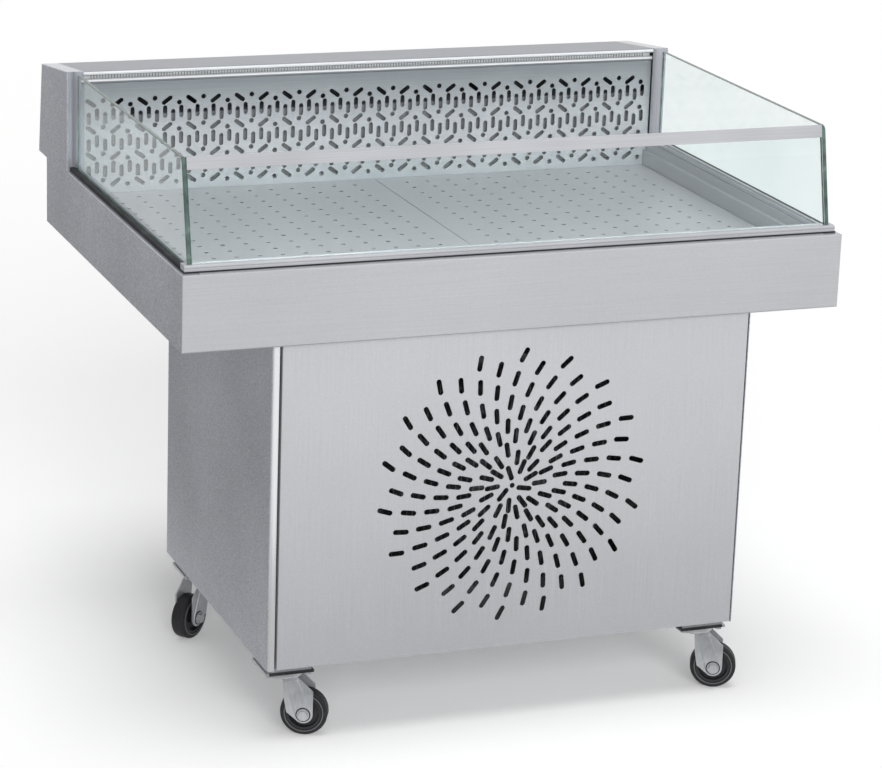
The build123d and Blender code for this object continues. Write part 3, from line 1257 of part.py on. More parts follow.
LEVER = (95.0, 16.0, 4.0)
LEVER_EYE = 12.0
with BuildPart() as drain_lever:
    with BuildSketch(front_plane(STEM_CAP[0] - GAP)):
        with Locations((DRAIN_X, VALVE_Z)):
            Circle(LEVER_EYE)
        with Locations((DRAIN_X + LEVER[0] / 2, VALVE_Z)):
            SlotOverall(LEVER[0], LEVER[1])
        with Locations((DRAIN_X, VALVE_Z)):
            Circle(STEM + RUNNING, mode=Mode.SUBTRACT)
    extrude(amount=LEVER[2])
save(drain_lever, "drain_lever")

# Screws of the rear panel: pan head outside, captive nut inside the cabinet
SCREW = 2.0
SCREW_HEAD = (4.2, 2.6)
SCREW_NUT = (3.8, 3.0)
with BuildPart() as panel_screws:
    for side in (-1, 1):
        for z in SCREW_HEIGHTS:
            x = side * SCREW_X
            skin = CABINET_REAR + SHEET
            inner = CABINET_REAR - SHEET
            rod(x, (skin, skin + SCREW_HEAD[1]), z, SCREW_HEAD[0])
            rod(x, (inner, skin), z, SCREW)
            rod(x, (inner - SCREW_NUT[1], inner), z, SCREW_NUT[0])
save(panel_screws, "panel_screws")
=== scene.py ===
import json
from math import cos, pi, radians, sin

import bmesh
import bpy
from mathutils import Matrix, Vector


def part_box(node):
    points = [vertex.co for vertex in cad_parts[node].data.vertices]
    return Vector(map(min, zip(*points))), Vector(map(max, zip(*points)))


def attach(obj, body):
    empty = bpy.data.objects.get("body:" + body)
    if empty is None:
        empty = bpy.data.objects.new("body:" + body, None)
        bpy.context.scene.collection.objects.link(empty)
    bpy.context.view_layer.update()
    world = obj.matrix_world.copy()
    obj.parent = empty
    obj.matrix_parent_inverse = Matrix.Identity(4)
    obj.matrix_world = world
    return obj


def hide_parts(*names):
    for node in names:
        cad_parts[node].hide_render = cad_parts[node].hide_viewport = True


# Looks of the refrigerated fish display case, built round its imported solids. Metres.

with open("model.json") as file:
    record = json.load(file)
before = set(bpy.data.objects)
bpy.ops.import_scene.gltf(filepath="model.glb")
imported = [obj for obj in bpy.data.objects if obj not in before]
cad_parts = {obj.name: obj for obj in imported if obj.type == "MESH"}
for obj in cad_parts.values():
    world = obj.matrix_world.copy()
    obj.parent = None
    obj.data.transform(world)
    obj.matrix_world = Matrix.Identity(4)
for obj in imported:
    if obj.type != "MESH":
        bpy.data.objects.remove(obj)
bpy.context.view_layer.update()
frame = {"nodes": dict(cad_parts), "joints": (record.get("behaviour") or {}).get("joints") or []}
nodes = frame["nodes"]
HANDS = ("front_left", "front_right", "rear_left", "rear_right")

# Camera
IMAGE_WIDTH = 882
SENSOR = 36.0
FOCAL_PIXELS = 3207.5
CAMERA_PLACE = (-2.1900, -5.7644, 2.4006)
CAMERA_YAW = 21.218
CAMERA_PITCH = 16.961
CAMERA_ROLL = -2.0
CAMERA_REACH = 200.0

yaw, pitch, roll = (radians(angle) for angle in (CAMERA_YAW, CAMERA_PITCH, CAMERA_ROLL))
forward = Vector((sin(yaw) * cos(pitch), cos(yaw) * cos(pitch), -sin(pitch)))
level_right = Vector((cos(yaw), -sin(yaw), 0))
level_down = forward.cross(level_right)
image_right = cos(roll) * level_right + sin(roll) * level_down
image_down = -sin(roll) * level_right + cos(roll) * level_down
camera_data = bpy.data.cameras.new("camera")
camera_data.sensor_fit = "HORIZONTAL"
camera_data.sensor_width = SENSOR
camera_data.lens = FOCAL_PIXELS / IMAGE_WIDTH * SENSOR
camera_data.clip_end = CAMERA_REACH
camera = bpy.data.objects.new("camera", camera_data)
bpy.context.scene.collection.objects.link(camera)
turn = Matrix((image_right, -image_down, -forward)).transposed().to_4x4()
camera.matrix_world = Matrix.Translation(CAMERA_PLACE) @ turn
bpy.context.scene.camera = camera


def colour(red, green, blue):
    """A colour given as screen values from 0 to 255, in the linear values that shaders take."""
    values = []
    for value in (red, green, blue):
        share = value / 255
        values.append(share / 12.92 if share <= 0.04045 else ((share + 0.055) / 1.055) ** 2.4)
    return (*values, 1.0)


EDGE_ROUND = 0.001
EDGE_SAMPLES = 4
NOISE_SPAN = (0.3, 0.7)
POLISH = 0.2


class Look:
    """A procedural material: one Principled shader, and the textures that feed it."""

    def __init__(self, name, roughness=0.5, metallic=0.0):
        self.material = bpy.data.materials.new(name)
        self.material.use_nodes = True
        self.tree = self.material.node_tree
        self.tree.nodes.clear()
        self.output = self.node("ShaderNodeOutputMaterial")
        self.shader = self.node("ShaderNodeBsdfPrincipled")
        self.link(self.shader.outputs[0], self.output.inputs["Surface"])
        self.shader.inputs["Roughness"].default_value = roughness
        self.shader.inputs["Metallic"].default_value = metallic
        self.place = self.node("ShaderNodeTexCoord").outputs["Object"]

    def node(self, kind):
        """New node of a kind."""
        return self.tree.nodes.new(kind)

    def link(self, source, target):
        """Link from one socket to another."""
        self.tree.links.new(source, target)

    def noise(self, scale, detail=3.0, roughness=0.55):
        """Noise of one scale, or of a scale each along x, y and z, where a low value draws it out."""
        mapping = self.node("ShaderNodeMapping")
        mapping.inputs["Scale"].default_value = scale if isinstance(scale, tuple) else (scale,) * 3
        self.link(self.place, mapping.inputs["Vector"])
        texture = self.node("ShaderNodeTexNoise")
        texture.inputs["Scale"].default_value = 1.0
        texture.inputs["Detail"].default_value = detail
        texture.inputs["Roughness"].default_value = roughness
        self.link(mapping.outputs[0], texture.inputs["Vector"])
        return texture.outputs[0]

    def sum(self, *layers):
        """Weighted sum of textures, each given as (socket, weight)."""
        total = None
        for socket, weight in layers:
            step = self.node("ShaderNodeMath")
            step.operation = "MULTIPLY_ADD"
            self.link(socket, step.inputs[0])
            step.inputs[1].default_value = weight
            if total is None:
                step.inputs[2].default_value = 0.0
            else:
                self.link(total, step.inputs[2])
            total = step.outputs[0]
        return total

    def tint(self, factor, stops):
        """Base colour from a texture, by stops of (position, colour)."""
        ramp = self.node("ShaderNodeValToRGB")
        points = ramp.color_ramp.elements
        while len(points) < len(stops):
            points.new(0.5)
        for point, (position, shade) in zip(points, stops):
            point.position = position
            point.color = shade
        self.link(factor, ramp.inputs[0])
        self.link(ramp.outputs[0], self.shader.inputs["Base Color"])

    def gloss(self, factor, low, high, mask=None):
        """Roughness between low and high, from a texture, but polished where a mask is given and is 0."""
        span = self.node("ShaderNodeMapRange")
        span.inputs["From Min"].default_value = NOISE_SPAN[0]
        span.inputs["From Max"].default_value = NOISE_SPAN[1]
        span.inputs["To Min"].default_value = low
        span.inputs["To Max"].default_value = high
        self.link(factor, span.inputs["Value"])
        roughness = span.outputs[0]
        if mask:
            roughness = self.where(mask, roughness, POLISH)
        self.link(roughness, self.shader.inputs["Roughness"])

    def along(self, axis):
        """Socket with the place along one axis."""
        split = self.node("ShaderNodeSeparateXYZ")
        self.link(self.place, split.inputs[0])
        return split.outputs[axis]

    def compare(self, operation, source, level):
        """Socket that is 1 where a comparison with a level holds, and 0 elsewhere."""
        test = self.node("ShaderNodeMath")
        test.operation = operation
        self.link(source, test.inputs[0])
        test.inputs[1].default_value = level
        return test.outputs[0]

    def rise(self, high, low):
        """Socket that goes from 0 at the height high to 1 at the height low."""
        span = self.node("ShaderNodeMapRange")
        span.inputs["From Min"].default_value = high
        span.inputs["From Max"].default_value = low
        self.link(self.along("Z"), span.inputs["Value"])
        return span.outputs[0]

    def above(self, level):
        """Socket that is 1 above a height and 0 below it."""
        return self.compare("GREATER_THAN", self.along("Z"), level)

    def before(self, level):
        """Socket that is 1 before a place along y and 0 behind it."""
        return self.compare("LESS_THAN", self.along("Y"), level)

    def aside(self):
        """Socket with the distance from the middle of the case, to either side."""
        size = self.node("ShaderNodeMath")
        size.operation = "ABSOLUTE"
        self.link(self.along("X"), size.inputs[0])
        return size.outputs[0]

    def outside(self, reach):
        """Socket that is 1 further aside than reach and 0 nearer to the middle of the case."""
        return self.compare("GREATER_THAN", self.aside(), reach)

    def inside(self, reach):
        """Socket that is 1 nearer to the middle of the case than reach and 0 further aside."""
        return self.compare("LESS_THAN", self.aside(), reach)

    def where(self, mask, texture, otherwise):
        """A texture where the mask is 1, and one value where it is 0."""
        choice = self.node("ShaderNodeMix")
        choice.data_type = "FLOAT"
        self.link(mask, choice.inputs["Factor"])
        choice.inputs["A"].default_value = otherwise
        self.link(texture, choice.inputs["B"])
        return choice.outputs["Result"]

    def relief(self, height, strength, distance):
        """Fine relief from a texture, with edges eased; distance is the relief's depth in metres."""
        edges = self.node("ShaderNodeBevel")
        edges.samples = EDGE_SAMPLES
        edges.inputs["Radius"].default_value = EDGE_ROUND
        bump = self.node("ShaderNodeBump")
        self.link(edges.outputs[0], bump.inputs["Normal"])
        bump.inputs["Strength"].default_value = strength
        bump.inputs["Distance"].default_value = distance
        self.link(height, bump.inputs["Height"])
        self.link(bump.outputs[0], self.shader.inputs["Normal"])


# Textures of brushed stainless steel: scales, (detail, roughness) and relief as (strength, depth)
GRAIN_FINE = 900.0
GRAIN_LONG = 6.0
GRAIN_DETAIL = (4.0, 0.6)
GRAIN_RELIEF = (0.12, 0.00015)
SPECK_FINE = 330.0
SPECK_DETAIL = (1.0, 0.6)
CLOUD_BROAD = 2.3
CLOUD_DETAIL = (3.0, 0.5)

# Brushed stainless steel: metallic share, range of roughness, shares of clouds and mottling in its tone
STEEL_METAL = 0.5
SATIN = (0.36, 0.5)
CLOUD_SHARE = 0.25
MOTTLE = 0.25
SIDE_MOTTLE = 0.55

# What stands for the mottling on the smooth faces of the sides: the higher, the paler. The cabinet's value is
# a painted highlight that paints its rounded front corners pale
TUB_SMOOTH = 0.4
CABINET_CORNER_HIGHLIGHT = 1.1

# Depths of the sides' mottled skin; of the grille's painted shade below its top edge and of the painted
# highlight on its bead; of the upstand's top, painted darker as shade, and of the painted highlight on its
# nose
SIDE_SKIN = 0.0015
SHADE_DROP = (0.015, 0.115)
BEAD_DEPTH = 0.005
TOP_FALL = 0.0245
NOSE_DEPTH = 0.0012

# Tones of brushed stainless steel
STEEL_DARK = colour(178, 180, 184)
STEEL_LIGHT = colour(194, 195, 198)
STEEL_BRIGHT = colour(222, 223, 225)
FRONT_DARK = colour(188, 190, 194)
FRONT_LIGHT = colour(204, 205, 208)
SIDE_DARK = colour(158, 161, 168)
SIDE_LIGHT = colour(213, 215, 222)
# Grille: its tone in the painted shade under the nose, and its tone lower down
GRILLE_SHADED = colour(142, 148, 152)
GRILLE_LIGHT = colour(188, 192, 195)
# Painted highlight: pale tones for the grille's bead, the upstand's nose and the outlet strip
HIGHLIGHT_DARK = colour(226, 228, 230)
HIGHLIGHT_LIGHT = colour(238, 239, 240)
# Painted shade: darker tones for the upstand's sloping top
TOP_SHADE_DARK = colour(142, 145, 151)
TOP_SHADE_LIGHT = colour(158, 161, 167)


def brushed(name, axis):
    """Look of brushed steel, with its textures: hairline grain along an axis, and broad clouds."""
    look = Look(name, metallic=STEEL_METAL)
    stretch = [GRAIN_FINE] * 3
    stretch["xyz".index(axis)] = GRAIN_LONG
    grain = look.noise(tuple(stretch), *GRAIN_DETAIL)
    cloud = look.noise(CLOUD_BROAD, *CLOUD_DETAIL)
    look.relief(grain, *GRAIN_RELIEF)
    return look, grain, cloud


def steel(name, axis, dark, light, mottle=MOTTLE, skin=None, smooth=None):
    """Satin steel: hairline grain along axis, small mottling and broad clouds in its tone.

    skin, if given, is the distance from the middle of the case beyond which the steel is mottled. Nearer to
    the middle it is polished, and the value smooth stands for the mottling there; a high value paints those
    faces pale, as a painted highlight.
    """
    look, grain, cloud = brushed(name, axis)
    speck = look.noise(SPECK_FINE, *SPECK_DETAIL)
    mask = None
    if skin:
        mask = look.outside(skin)
        speck = look.where(mask, speck, smooth)
    tone = look.sum((grain, 1 - CLOUD_SHARE - mottle), (speck, mottle), (cloud, CLOUD_SHARE))
    look.tint(tone, [(0.36, dark), (0.64, light), (0.84, STEEL_BRIGHT)])
    look.gloss(grain, *SATIN, mask)
    return look.material


def grille_look(top):
    """Satin steel with a painted shade that darkens it below its top edge, the height top, and fades
    downwards, and a painted highlight on the bead at that edge.
    """
    look, grain, cloud = brushed("steel_grille", "x")
    # Painted shade: darkest just below the top edge, under the nose, and gone further down
    painted_shade_ramp = look.rise(top - SHADE_DROP[0], top - SHADE_DROP[1])
    # Painted highlight: the bead along the top edge takes the palest tones
    bead_highlight = look.above(top - BEAD_DEPTH)
    tone = look.sum((grain, 0.15), (cloud, 0.1), (painted_shade_ramp, 0.25), (bead_highlight, 0.5))
    look.tint(tone, [(0.12, GRILLE_SHADED), (0.38, GRILLE_LIGHT), (0.6, HIGHLIGHT_DARK), (0.9, HIGHLIGHT_LIGHT)])
    look.gloss(grain, *SATIN)
    return look.material


def upstand_look(front, top):
    """Satin steel, with a painted shade that darkens its sloping top and a painted highlight on the nose
    along its front edge.
    """
    look, grain, cloud = brushed("steel_upstand", "x")
    speck = look.noise(SPECK_FINE, *SPECK_DETAIL)
    texture = [(grain, 0.25), (speck, 0.125), (cloud, 0.125)]
    # Painted shade on the sloping top, and a painted highlight on the nose at the front
    slope_shade = look.above(top - TOP_FALL)
    nose_highlight = look.before(front + NOSE_DEPTH)
    tone = look.sum(*texture, (slope_shade, 0.3), (nose_highlight, 0.3))
    stops = [(0.18, STEEL_DARK), (0.32, STEEL_LIGHT), (0.48, TOP_SHADE_DARK), (0.62, TOP_SHADE_LIGHT)]
    look.tint(tone, [*stops, (0.78, HIGHLIGHT_DARK), (0.92, HIGHLIGHT_LIGHT)])
    look.gloss(grain, *SATIN)
    return look.material


def side_look(name, panel, smooth):
    """Steel of a pair of sides, mottled on their outer faces; panel is the right one's node."""
    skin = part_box(panel)[1][0] - SIDE_SKIN
    return steel(name, "z", SIDE_DARK, SIDE_LIGHT, SIDE_MOTTLE, skin, smooth)


upstand_low, upstand_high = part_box("upstand_cover")
steel_x = steel("steel_grain_x", "x", STEEL_DARK, STEEL_LIGHT)
steel_y = steel("steel_grain_y", "y", STEEL_DARK, STEEL_LIGHT)
steel_z = steel("steel_grain_z", "z", FRONT_DARK, FRONT_LIGHT)
steel_tub_side = side_look("steel_tub_sides", "side_panel_right", TUB_SMOOTH)
# Painted highlight: the rounded front corners of the cabinet sides are painted pale
steel_cabinet_side = side_look("steel_cabinet_sides", "cabinet_side_right", CABINET_CORNER_HIGHLIGHT)
steel_grille = grille_look(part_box("back_grille")[1][2])
steel_upstand = upstand_look(upstand_low[1], upstand_high[2])

# Zinc plate, and the painted shade on the casters' top plates under the case: its depth from their top, and
# the width of their side edges left zinc
ZINC_FINE = 420.0
ZINC_LONG = 60.0
ZINC_PATCH = 38.0
ZINC_METAL = 0.6
ZINC_GLOSS = (0.28, 0.42)
ZINC_RELIEF = (0.06, 0.0002)
ZINC_DARK = colour(172, 175, 179)
ZINC_LIGHT = colour(194, 196, 199)
PLATE = 0.005
PLATE_EDGE = 0.006
PLATE_SHADE_DARK = colour(44, 45, 47)
PLATE_SHADE_LIGHT = colour(74, 75, 77)

# Aluminium, anodised on the extrusions and raw on the fins
ALUMINIUM_GRAIN = (5.0, 1200.0, 1200.0)
ALUMINIUM_CLOUD = 4.0
ALUMINIUM_CLOUD_DETAIL = 2.0
ALUMINIUM_METAL = 0.45
ALUMINIUM_GLOSS = (0.32, 0.44)
ALUMINIUM_RELIEF = (0.08, 0.0001)
ALUMINIUM_DARK = colour(174, 175, 179)
ALUMINIUM_LIGHT = colour(192, 193, 197)
FIN_PATCH = 60.0
FIN_DETAIL = 4.0
FIN_METAL = 0.8
FIN_GLOSS = (0.3, 0.5)
FIN_RELIEF = (0.1, 0.0002)
FIN_DARK = colour(150, 152, 155)
FIN_LIGHT = colour(198, 200, 203)


def zinc_look():
    """Bright zinc plate: pale, with a fine rolled grain and duller patches."""
    look = Look("zinc_plate", metallic=ZINC_METAL)
    fine = look.noise((ZINC_FINE, ZINC_FINE, ZINC_LONG))
    patch = look.noise(ZINC_PATCH)
    tone = look.sum((fine, 0.5), (patch, 0.5))
    look.tint(tone, [(0.34, ZINC_DARK), (0.66, ZINC_LIGHT)])
    look.gloss(patch, *ZINC_GLOSS)
    look.relief(fine, *ZINC_RELIEF)
    return look.material


def caster_plate_look(corner):
    """Zinc race below a plate painted dark as a painted shade under the case, its side edges left zinc;
    corner is the plates' upper right corner.
    """
    look = Look("caster_plate", metallic=ZINC_METAL)
    fine = look.noise(ZINC_FINE)
    patch = look.noise(ZINC_PATCH)
    # Painted shade: the plate's top band takes the dark tones, except at its side edges
    plate_shade = look.where(look.inside(corner[0] - PLATE_EDGE), look.above(corner[2] - PLATE), 0.0)
    tone = look.sum((fine, 0.25), (patch, 0.25), (plate_shade, 0.5))
    look.tint(tone, [(0.17, ZINC_DARK), (0.33, ZINC_LIGHT), (0.67, PLATE_SHADE_DARK), (0.83, PLATE_SHADE_LIGHT)])
    look.gloss(patch, *ZINC_GLOSS)
    look.relief(fine, *ZINC_RELIEF)
    return look.material


def aluminium_look():
    """Anodised aluminium extrusion: fine lines along its length."""
    look = Look("anodised_aluminium", metallic=ALUMINIUM_METAL)
    grain = look.noise(ALUMINIUM_GRAIN)
    cloud = look.noise(ALUMINIUM_CLOUD, ALUMINIUM_CLOUD_DETAIL)
    tone = look.sum((grain, 0.6), (cloud, 0.4))
    look.tint(tone, [(0.36, ALUMINIUM_DARK), (0.64, ALUMINIUM_LIGHT)])
    look.gloss(grain, *ALUMINIUM_GLOSS)
    look.relief(grain, *ALUMINIUM_RELIEF)
    return look.material


def fin_look():
    """Thin raw aluminium fins, slightly dulled."""
    look = Look("fin_aluminium", metallic=FIN_METAL)
    patch = look.noise(FIN_PATCH, FIN_DETAIL)
    look.tint(patch, [(0.35, FIN_DARK), (0.65, FIN_LIGHT)])
    look.gloss(patch, *FIN_GLOSS)
    look.relief(patch, *FIN_RELIEF)
    return look.material


zinc = zinc_look()
caster_plate = caster_plate_look(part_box("caster_plates")[1])
aluminium = aluminium_look()
fins = fin_look()

# Moulded and coated surfaces, and the pipes and fittings of copper and brass
PLAIN_GRAIN = 350.0
PLAIN_PATCH = 14.0
PLAIN_STRENGTH = 0.25
PLAIN_DEPTH = 0.0002


def plain_look(name, dark, light, rough, grain=PLAIN_GRAIN, depth=PLAIN_DEPTH, metallic=0.0):
    """Plain surface: fine grain, slow changes of tone, and rough as its range of roughness."""
    look = Look(name, metallic=metallic)
    fine = look.noise(grain)
    slow = look.noise(PLAIN_PATCH)
    tone = look.sum((fine, 0.45), (slow, 0.55))
    look.tint(tone, [(0.35, dark), (0.65, light)])
    look.gloss(slow, *rough)
    look.relief(fine, PLAIN_STRENGTH, depth)
    return look.material


rubber = plain_look("black_rubber", colour(22, 22, 24), colour(40, 40, 43), (0.55, 0.8))
tyre_rubber = plain_look("tyre_rubber", colour(14, 14, 16), colour(32, 32, 35), (0.5, 0.75), grain=180.0)
hub_plastic = plain_look("hub_plastic", colour(20, 20, 22), colour(38, 38, 41), (0.35, 0.55))
dark_plastic = plain_look("dark_plastic", colour(34, 35, 38), colour(54, 55, 58), (0.35, 0.55))
display = plain_look("display_window", colour(12, 12, 14), colour(24, 20, 22), (0.05, 0.12), grain=60.0)
# Painted light: the outlet strip sits in the shade of the nose and is painted pale as if lit
painted_light_steel = plain_look("painted_light_steel", HIGHLIGHT_DARK, HIGHLIGHT_LIGHT, SATIN, metallic=STEEL_METAL)
# Painted shade: the air baffle behind the grille is painted dark grey for the dim space seen through its
# holes
baffle_shade_steel = plain_look("painted_shade_steel", colour(122, 125, 127), colour(140, 143, 145), (0.5, 0.7))
grey_plastic = plain_look("grey_plastic", colour(176, 178, 180), colour(196, 198, 199), (0.45, 0.6))
foam = plain_look("foam", colour(214, 202, 158), colour(238, 228, 190), (0.8, 0.95), grain=120.0, depth=0.001)
enamel = plain_look("black_enamel", colour(16, 16, 17), colour(34, 34, 36), (0.16, 0.3), grain=90.0)
copper = plain_look("copper", colour(150, 84, 56), colour(206, 134, 98), (0.22, 0.42), metallic=0.95)
brass = plain_look("brass", colour(168, 138, 76), colour(208, 180, 112), (0.25, 0.42), metallic=0.95)
ring_plastic = plain_look("hub_ring", colour(76, 77, 79), colour(104, 105, 107), (0.45, 0.6))

# Glass, with a broad film in its tone, and its ground edges
GLASS_IOR = 1.25
GLASS_FILM = 3.0
GLASS_DARK = colour(240, 247, 247)
GLASS_LIGHT = colour(248, 252, 252)
GLASS_SHADOW = colour(246, 250, 250)
GLASS_EDGE_PATCH = 40.0
GLASS_EDGE_DETAIL = 4.0
GLASS_EDGE_GLOSS = (0.12, 0.3)
GLASS_EDGE_RELIEF = (0.1, 0.0002)
GLASS_EDGE_DARK = colour(44, 62, 58)
GLASS_EDGE_LIGHT = colour(90, 112, 106)


def mixed(tree, factor, first, second):
    """Mix of two shaders by a socket."""
    mix = tree.nodes.new("ShaderNodeMixShader")
    tree.links.new(factor, mix.inputs[0])
    tree.links.new(first, mix.inputs[1])
    tree.links.new(second, mix.inputs[2])
    return mix.outputs[0]


def glass_look():
    """Clear float glass that lets lamp light through."""
    look = Look("clear_glass", roughness=0.0)
    look.shader.inputs["Transmission Weight"].default_value = 1.0
    look.shader.inputs["IOR"].default_value = GLASS_IOR
    film = look.noise(GLASS_FILM)
    look.tint(film, [(0.3, GLASS_DARK), (0.7, GLASS_LIGHT)])
    clear = look.node("ShaderNodeBsdfTransparent")
    clear.inputs["Color"].default_value = GLASS_SHADOW
    path = look.node("ShaderNodeLightPath")
    surface = mixed(look.tree, path.outputs["Is Shadow Ray"], look.shader.outputs[0], clear.outputs[0])
    look.link(surface, look.output.inputs["Surface"])
    return look.material


def glass_edge_look():
    """Ground and polished glass edge: deep green, paler in patches."""
    look = Look("glass_edge")
    patch = look.noise(GLASS_EDGE_PATCH, GLASS_EDGE_DETAIL)
    look.tint(patch, [(0.3, GLASS_EDGE_DARK), (0.7, GLASS_EDGE_LIGHT)])
    look.gloss(patch, *GLASS_EDGE_GLOSS)
    look.relief(patch, *GLASS_EDGE_RELIEF)
    return look.material


glass = glass_look()
glass_edge = glass_edge_look()

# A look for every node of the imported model
NODE_LOOKS = {
    steel_x: "fascia tub_floor tub_rear_panel deck_tray_left deck_tray_right",
    painted_light_steel: "outlet_strip",
    steel_upstand: "upstand_cover",
    baffle_shade_steel: "air_baffle",
    steel_grille: "back_grille",
    steel_y: "well_tank",
    steel_z: "front_panel rear_panel panel_screws",
    steel_tub_side: "side_panel_left side_panel_right",
    steel_cabinet_side: "cabinet_side_left cabinet_side_right",
    zinc: "base_plate caster_bolts fan_shroud condenser_fan_motor drain_lever",
    caster_plate: "caster_plates",
    aluminium: "glass_rail glass_trim",
    fins: "evaporator condenser condenser_fan",
    glass: "front_glass side_glass_left side_glass_right",
    rubber: "glass_seal compressor_mounts",
    dark_plastic: (
        "controller power_inlet switch_rocker "
        "fan_housings evaporator_fan_left evaporator_fan_right"
    ),
    grey_plastic: "electrical_box key_set key_down key_up",
    foam: "insulation",
    enamel: "compressor receiver",
    copper: "refrigerant_lines",
    brass: "drain_valve",
}
CASTER_LOOKS = {"fork": zinc, "hub": hub_plastic, "tyre": tyre_rubber}


def dress(name, look):
    """Give a node its look."""
    for slot in nodes[name].material_slots:
        slot.material = look


for look, names in NODE_LOOKS.items():
    for name in names.split():
        dress(name, look)
for hand in HANDS:
    for kind, look in CASTER_LOOKS.items():
        dress(f"caster_{kind}_{hand}", look)


def add_piece(name, shape, body, slot_name, *looks):
    """A new piece from a shape, with the looks given, which rides on a body. slot_name is not used."""
    mesh = bpy.data.meshes.new(name)
    shape.to_mesh(mesh)
    shape.free()
    for look in looks:
        mesh.materials.append(look)
    piece = bpy.data.objects.new(name, mesh)
    bpy.context.scene.collection.objects.link(piece)
    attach(piece, body)
    return piece


# Panes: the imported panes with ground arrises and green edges
ARRIS = 0.0008
SAME_POINT = 1e-6
FLAT_ANGLE = radians(2)
SHARP_ANGLE = radians(30)
FACE_SHARE = 0.3
PANES = ("front_glass", "side_glass_left", "side_glass_right")


def add_pane(node):
    """Copy of a pane with its edges bevelled; every face but the two broad ones is an edge face."""
    shape = bmesh.new()
    shape.from_mesh(nodes[node].data)
    bmesh.ops.remove_doubles(shape, verts=shape.verts, dist=SAME_POINT)
    bmesh.ops.dissolve_limit(shape, angle_limit=FLAT_ANGLE, verts=shape.verts, edges=shape.edges)
    sharp = [edge for edge in shape.edges if edge.calc_face_angle(0) > SHARP_ANGLE]
    bmesh.ops.bevel(shape, geom=sharp, offset=ARRIS, segments=1, affect="EDGES")
    largest = max(face.calc_area() for face in shape.faces)
    for face in shape.faces:
        face.material_index = 0 if face.calc_area() > FACE_SHARE * largest else 1
    piece = add_piece(f"{node}_polished", shape, "case", "clear_glass", glass, glass_edge)
    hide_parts(node)


for node in PANES:
    add_pane(node)

# On both sides of every wheel: a raised ring on its face, and a black hoop round the axle's washer, a painted
# shade
HOOP_STEPS = 96
HOOP_SIDES = 8
RING_RADIUS = 0.0365
RING_WIRE = 0.0012
RING_PLACE = 0.0147
WASHER_SHADE_RADIUS = 0.0131
WASHER_SHADE_WIRE = 0.001
WASHER_SHADE_PLACE = 0.0238


def lathe(section, origin, axis, steps):
    """Closed mesh of a section, given as (radius, offset along the axis), turned round an axis."""
    across = axis.orthogonal().normalized()
    shape = bmesh.new()
    loops = []
    for step in range(steps):
        outward = Matrix.Rotation(2 * pi * step / steps, 3, axis) @ across
        loops.append([shape.verts.new(origin + radius * outward + along * axis) for radius, along in section])
    for step in range(steps):
        first, second = loops[step - 1], loops[step]
        for corner in range(len(section)):
            shape.faces.new((first[corner - 1], second[corner - 1], second[corner], first[corner]))
    bmesh.ops.recalc_face_normals(shape, faces=shape.faces)
    for face in shape.faces:
        face.smooth = True
    return shape


def hoop(joint, radius, wire, along):
    """Round wire hoop about a joint's axis, at a distance along it."""
    section = []
    for corner in range(HOOP_SIDES):
        angle = 2 * pi * corner / HOOP_SIDES
        section.append((radius + wire * cos(angle), along + wire * sin(angle)))
    return lathe(section, Vector(joint["pos_m"]), Vector(joint["axis"]).normalized(), HOOP_STEPS)


joint_of = {joint["child"]: joint for joint in frame["joints"]}
for hand in HANDS:
    axle = joint_of[f"wheel_{hand}"]
    for side, end in ((-1, "inner"), (1, "outer")):
        ring = hoop(axle, RING_RADIUS, RING_WIRE, side * RING_PLACE)
        add_piece(f"wheel_ring_{end}_{hand}", ring, f"wheel_{hand}", "grey_plastic", ring_plastic)
        # Painted shade: a black hoop for the shadow round the axle's washer
        washer_shade = hoop(axle, WASHER_SHADE_RADIUS, WASHER_SHADE_WIRE, side * WASHER_SHADE_PLACE)
        add_piece(f"axle_washer_shade_{end}_{hand}", washer_shade, f"fork_{hand}", "black_rubber", rubber)

# Display window of the controller; its depths are measured from the face of the bezel
LENS_HALF = 0.0256
LENS_HEIGHT = 0.0142
LENS_RISE = 0.0045
LENS_CORNER = 0.0016
LENS_STEPS = 5
LENS_BACK = 0.0009
LENS_FRONT = 0.0002
LENS_BEVEL = 0.0002


def rounded_outline(half_width, half_height, corner, steps):
    """Points of a rectangle with rounded corners, about its middle."""
    points = []
    for quarter, (right, up) in enumerate(((1, 1), (-1, 1), (-1, -1), (1, -1))):
        for step in range(steps + 1):
            angle = pi / 2 * (quarter + step / steps)
            x = right * (half_width - corner) + corner * cos(angle)
            z = up * (half_height - corner) + corner * sin(angle)
            points.append((x, z))
    return points


def add_controller_window():
    """Dark lens in the recess of the controller's bezel."""
    low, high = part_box("controller")
    middle_x = (low[0] + high[0]) / 2
    middle_z = (low[2] + high[2]) / 2 + LENS_RISE
    back = high[1] - LENS_BACK
    shape = bmesh.new()
    outline = rounded_outline(LENS_HALF, LENS_HEIGHT / 2, LENS_CORNER, LENS_STEPS)
    base = shape.faces.new([shape.verts.new((middle_x + x, back, middle_z + z)) for x, z in outline])
    raised = bmesh.ops.extrude_face_region(shape, geom=[base])["geom"]
    front = next(item for item in raised if isinstance(item, bmesh.types.BMFace))
    corners = [item for item in raised if isinstance(item, bmesh.types.BMVert)]
    bmesh.ops.translate(shape, verts=corners, vec=(0, LENS_BACK - LENS_FRONT, 0))
    bmesh.ops.bevel(shape, geom=list(front.edges), offset=LENS_BEVEL, segments=2, affect="EDGES")
    bmesh.ops.recalc_face_normals(shape, faces=shape.faces)
    add_piece("controller_window", shape, "case", "dark_plastic", display)


add_controller_window()

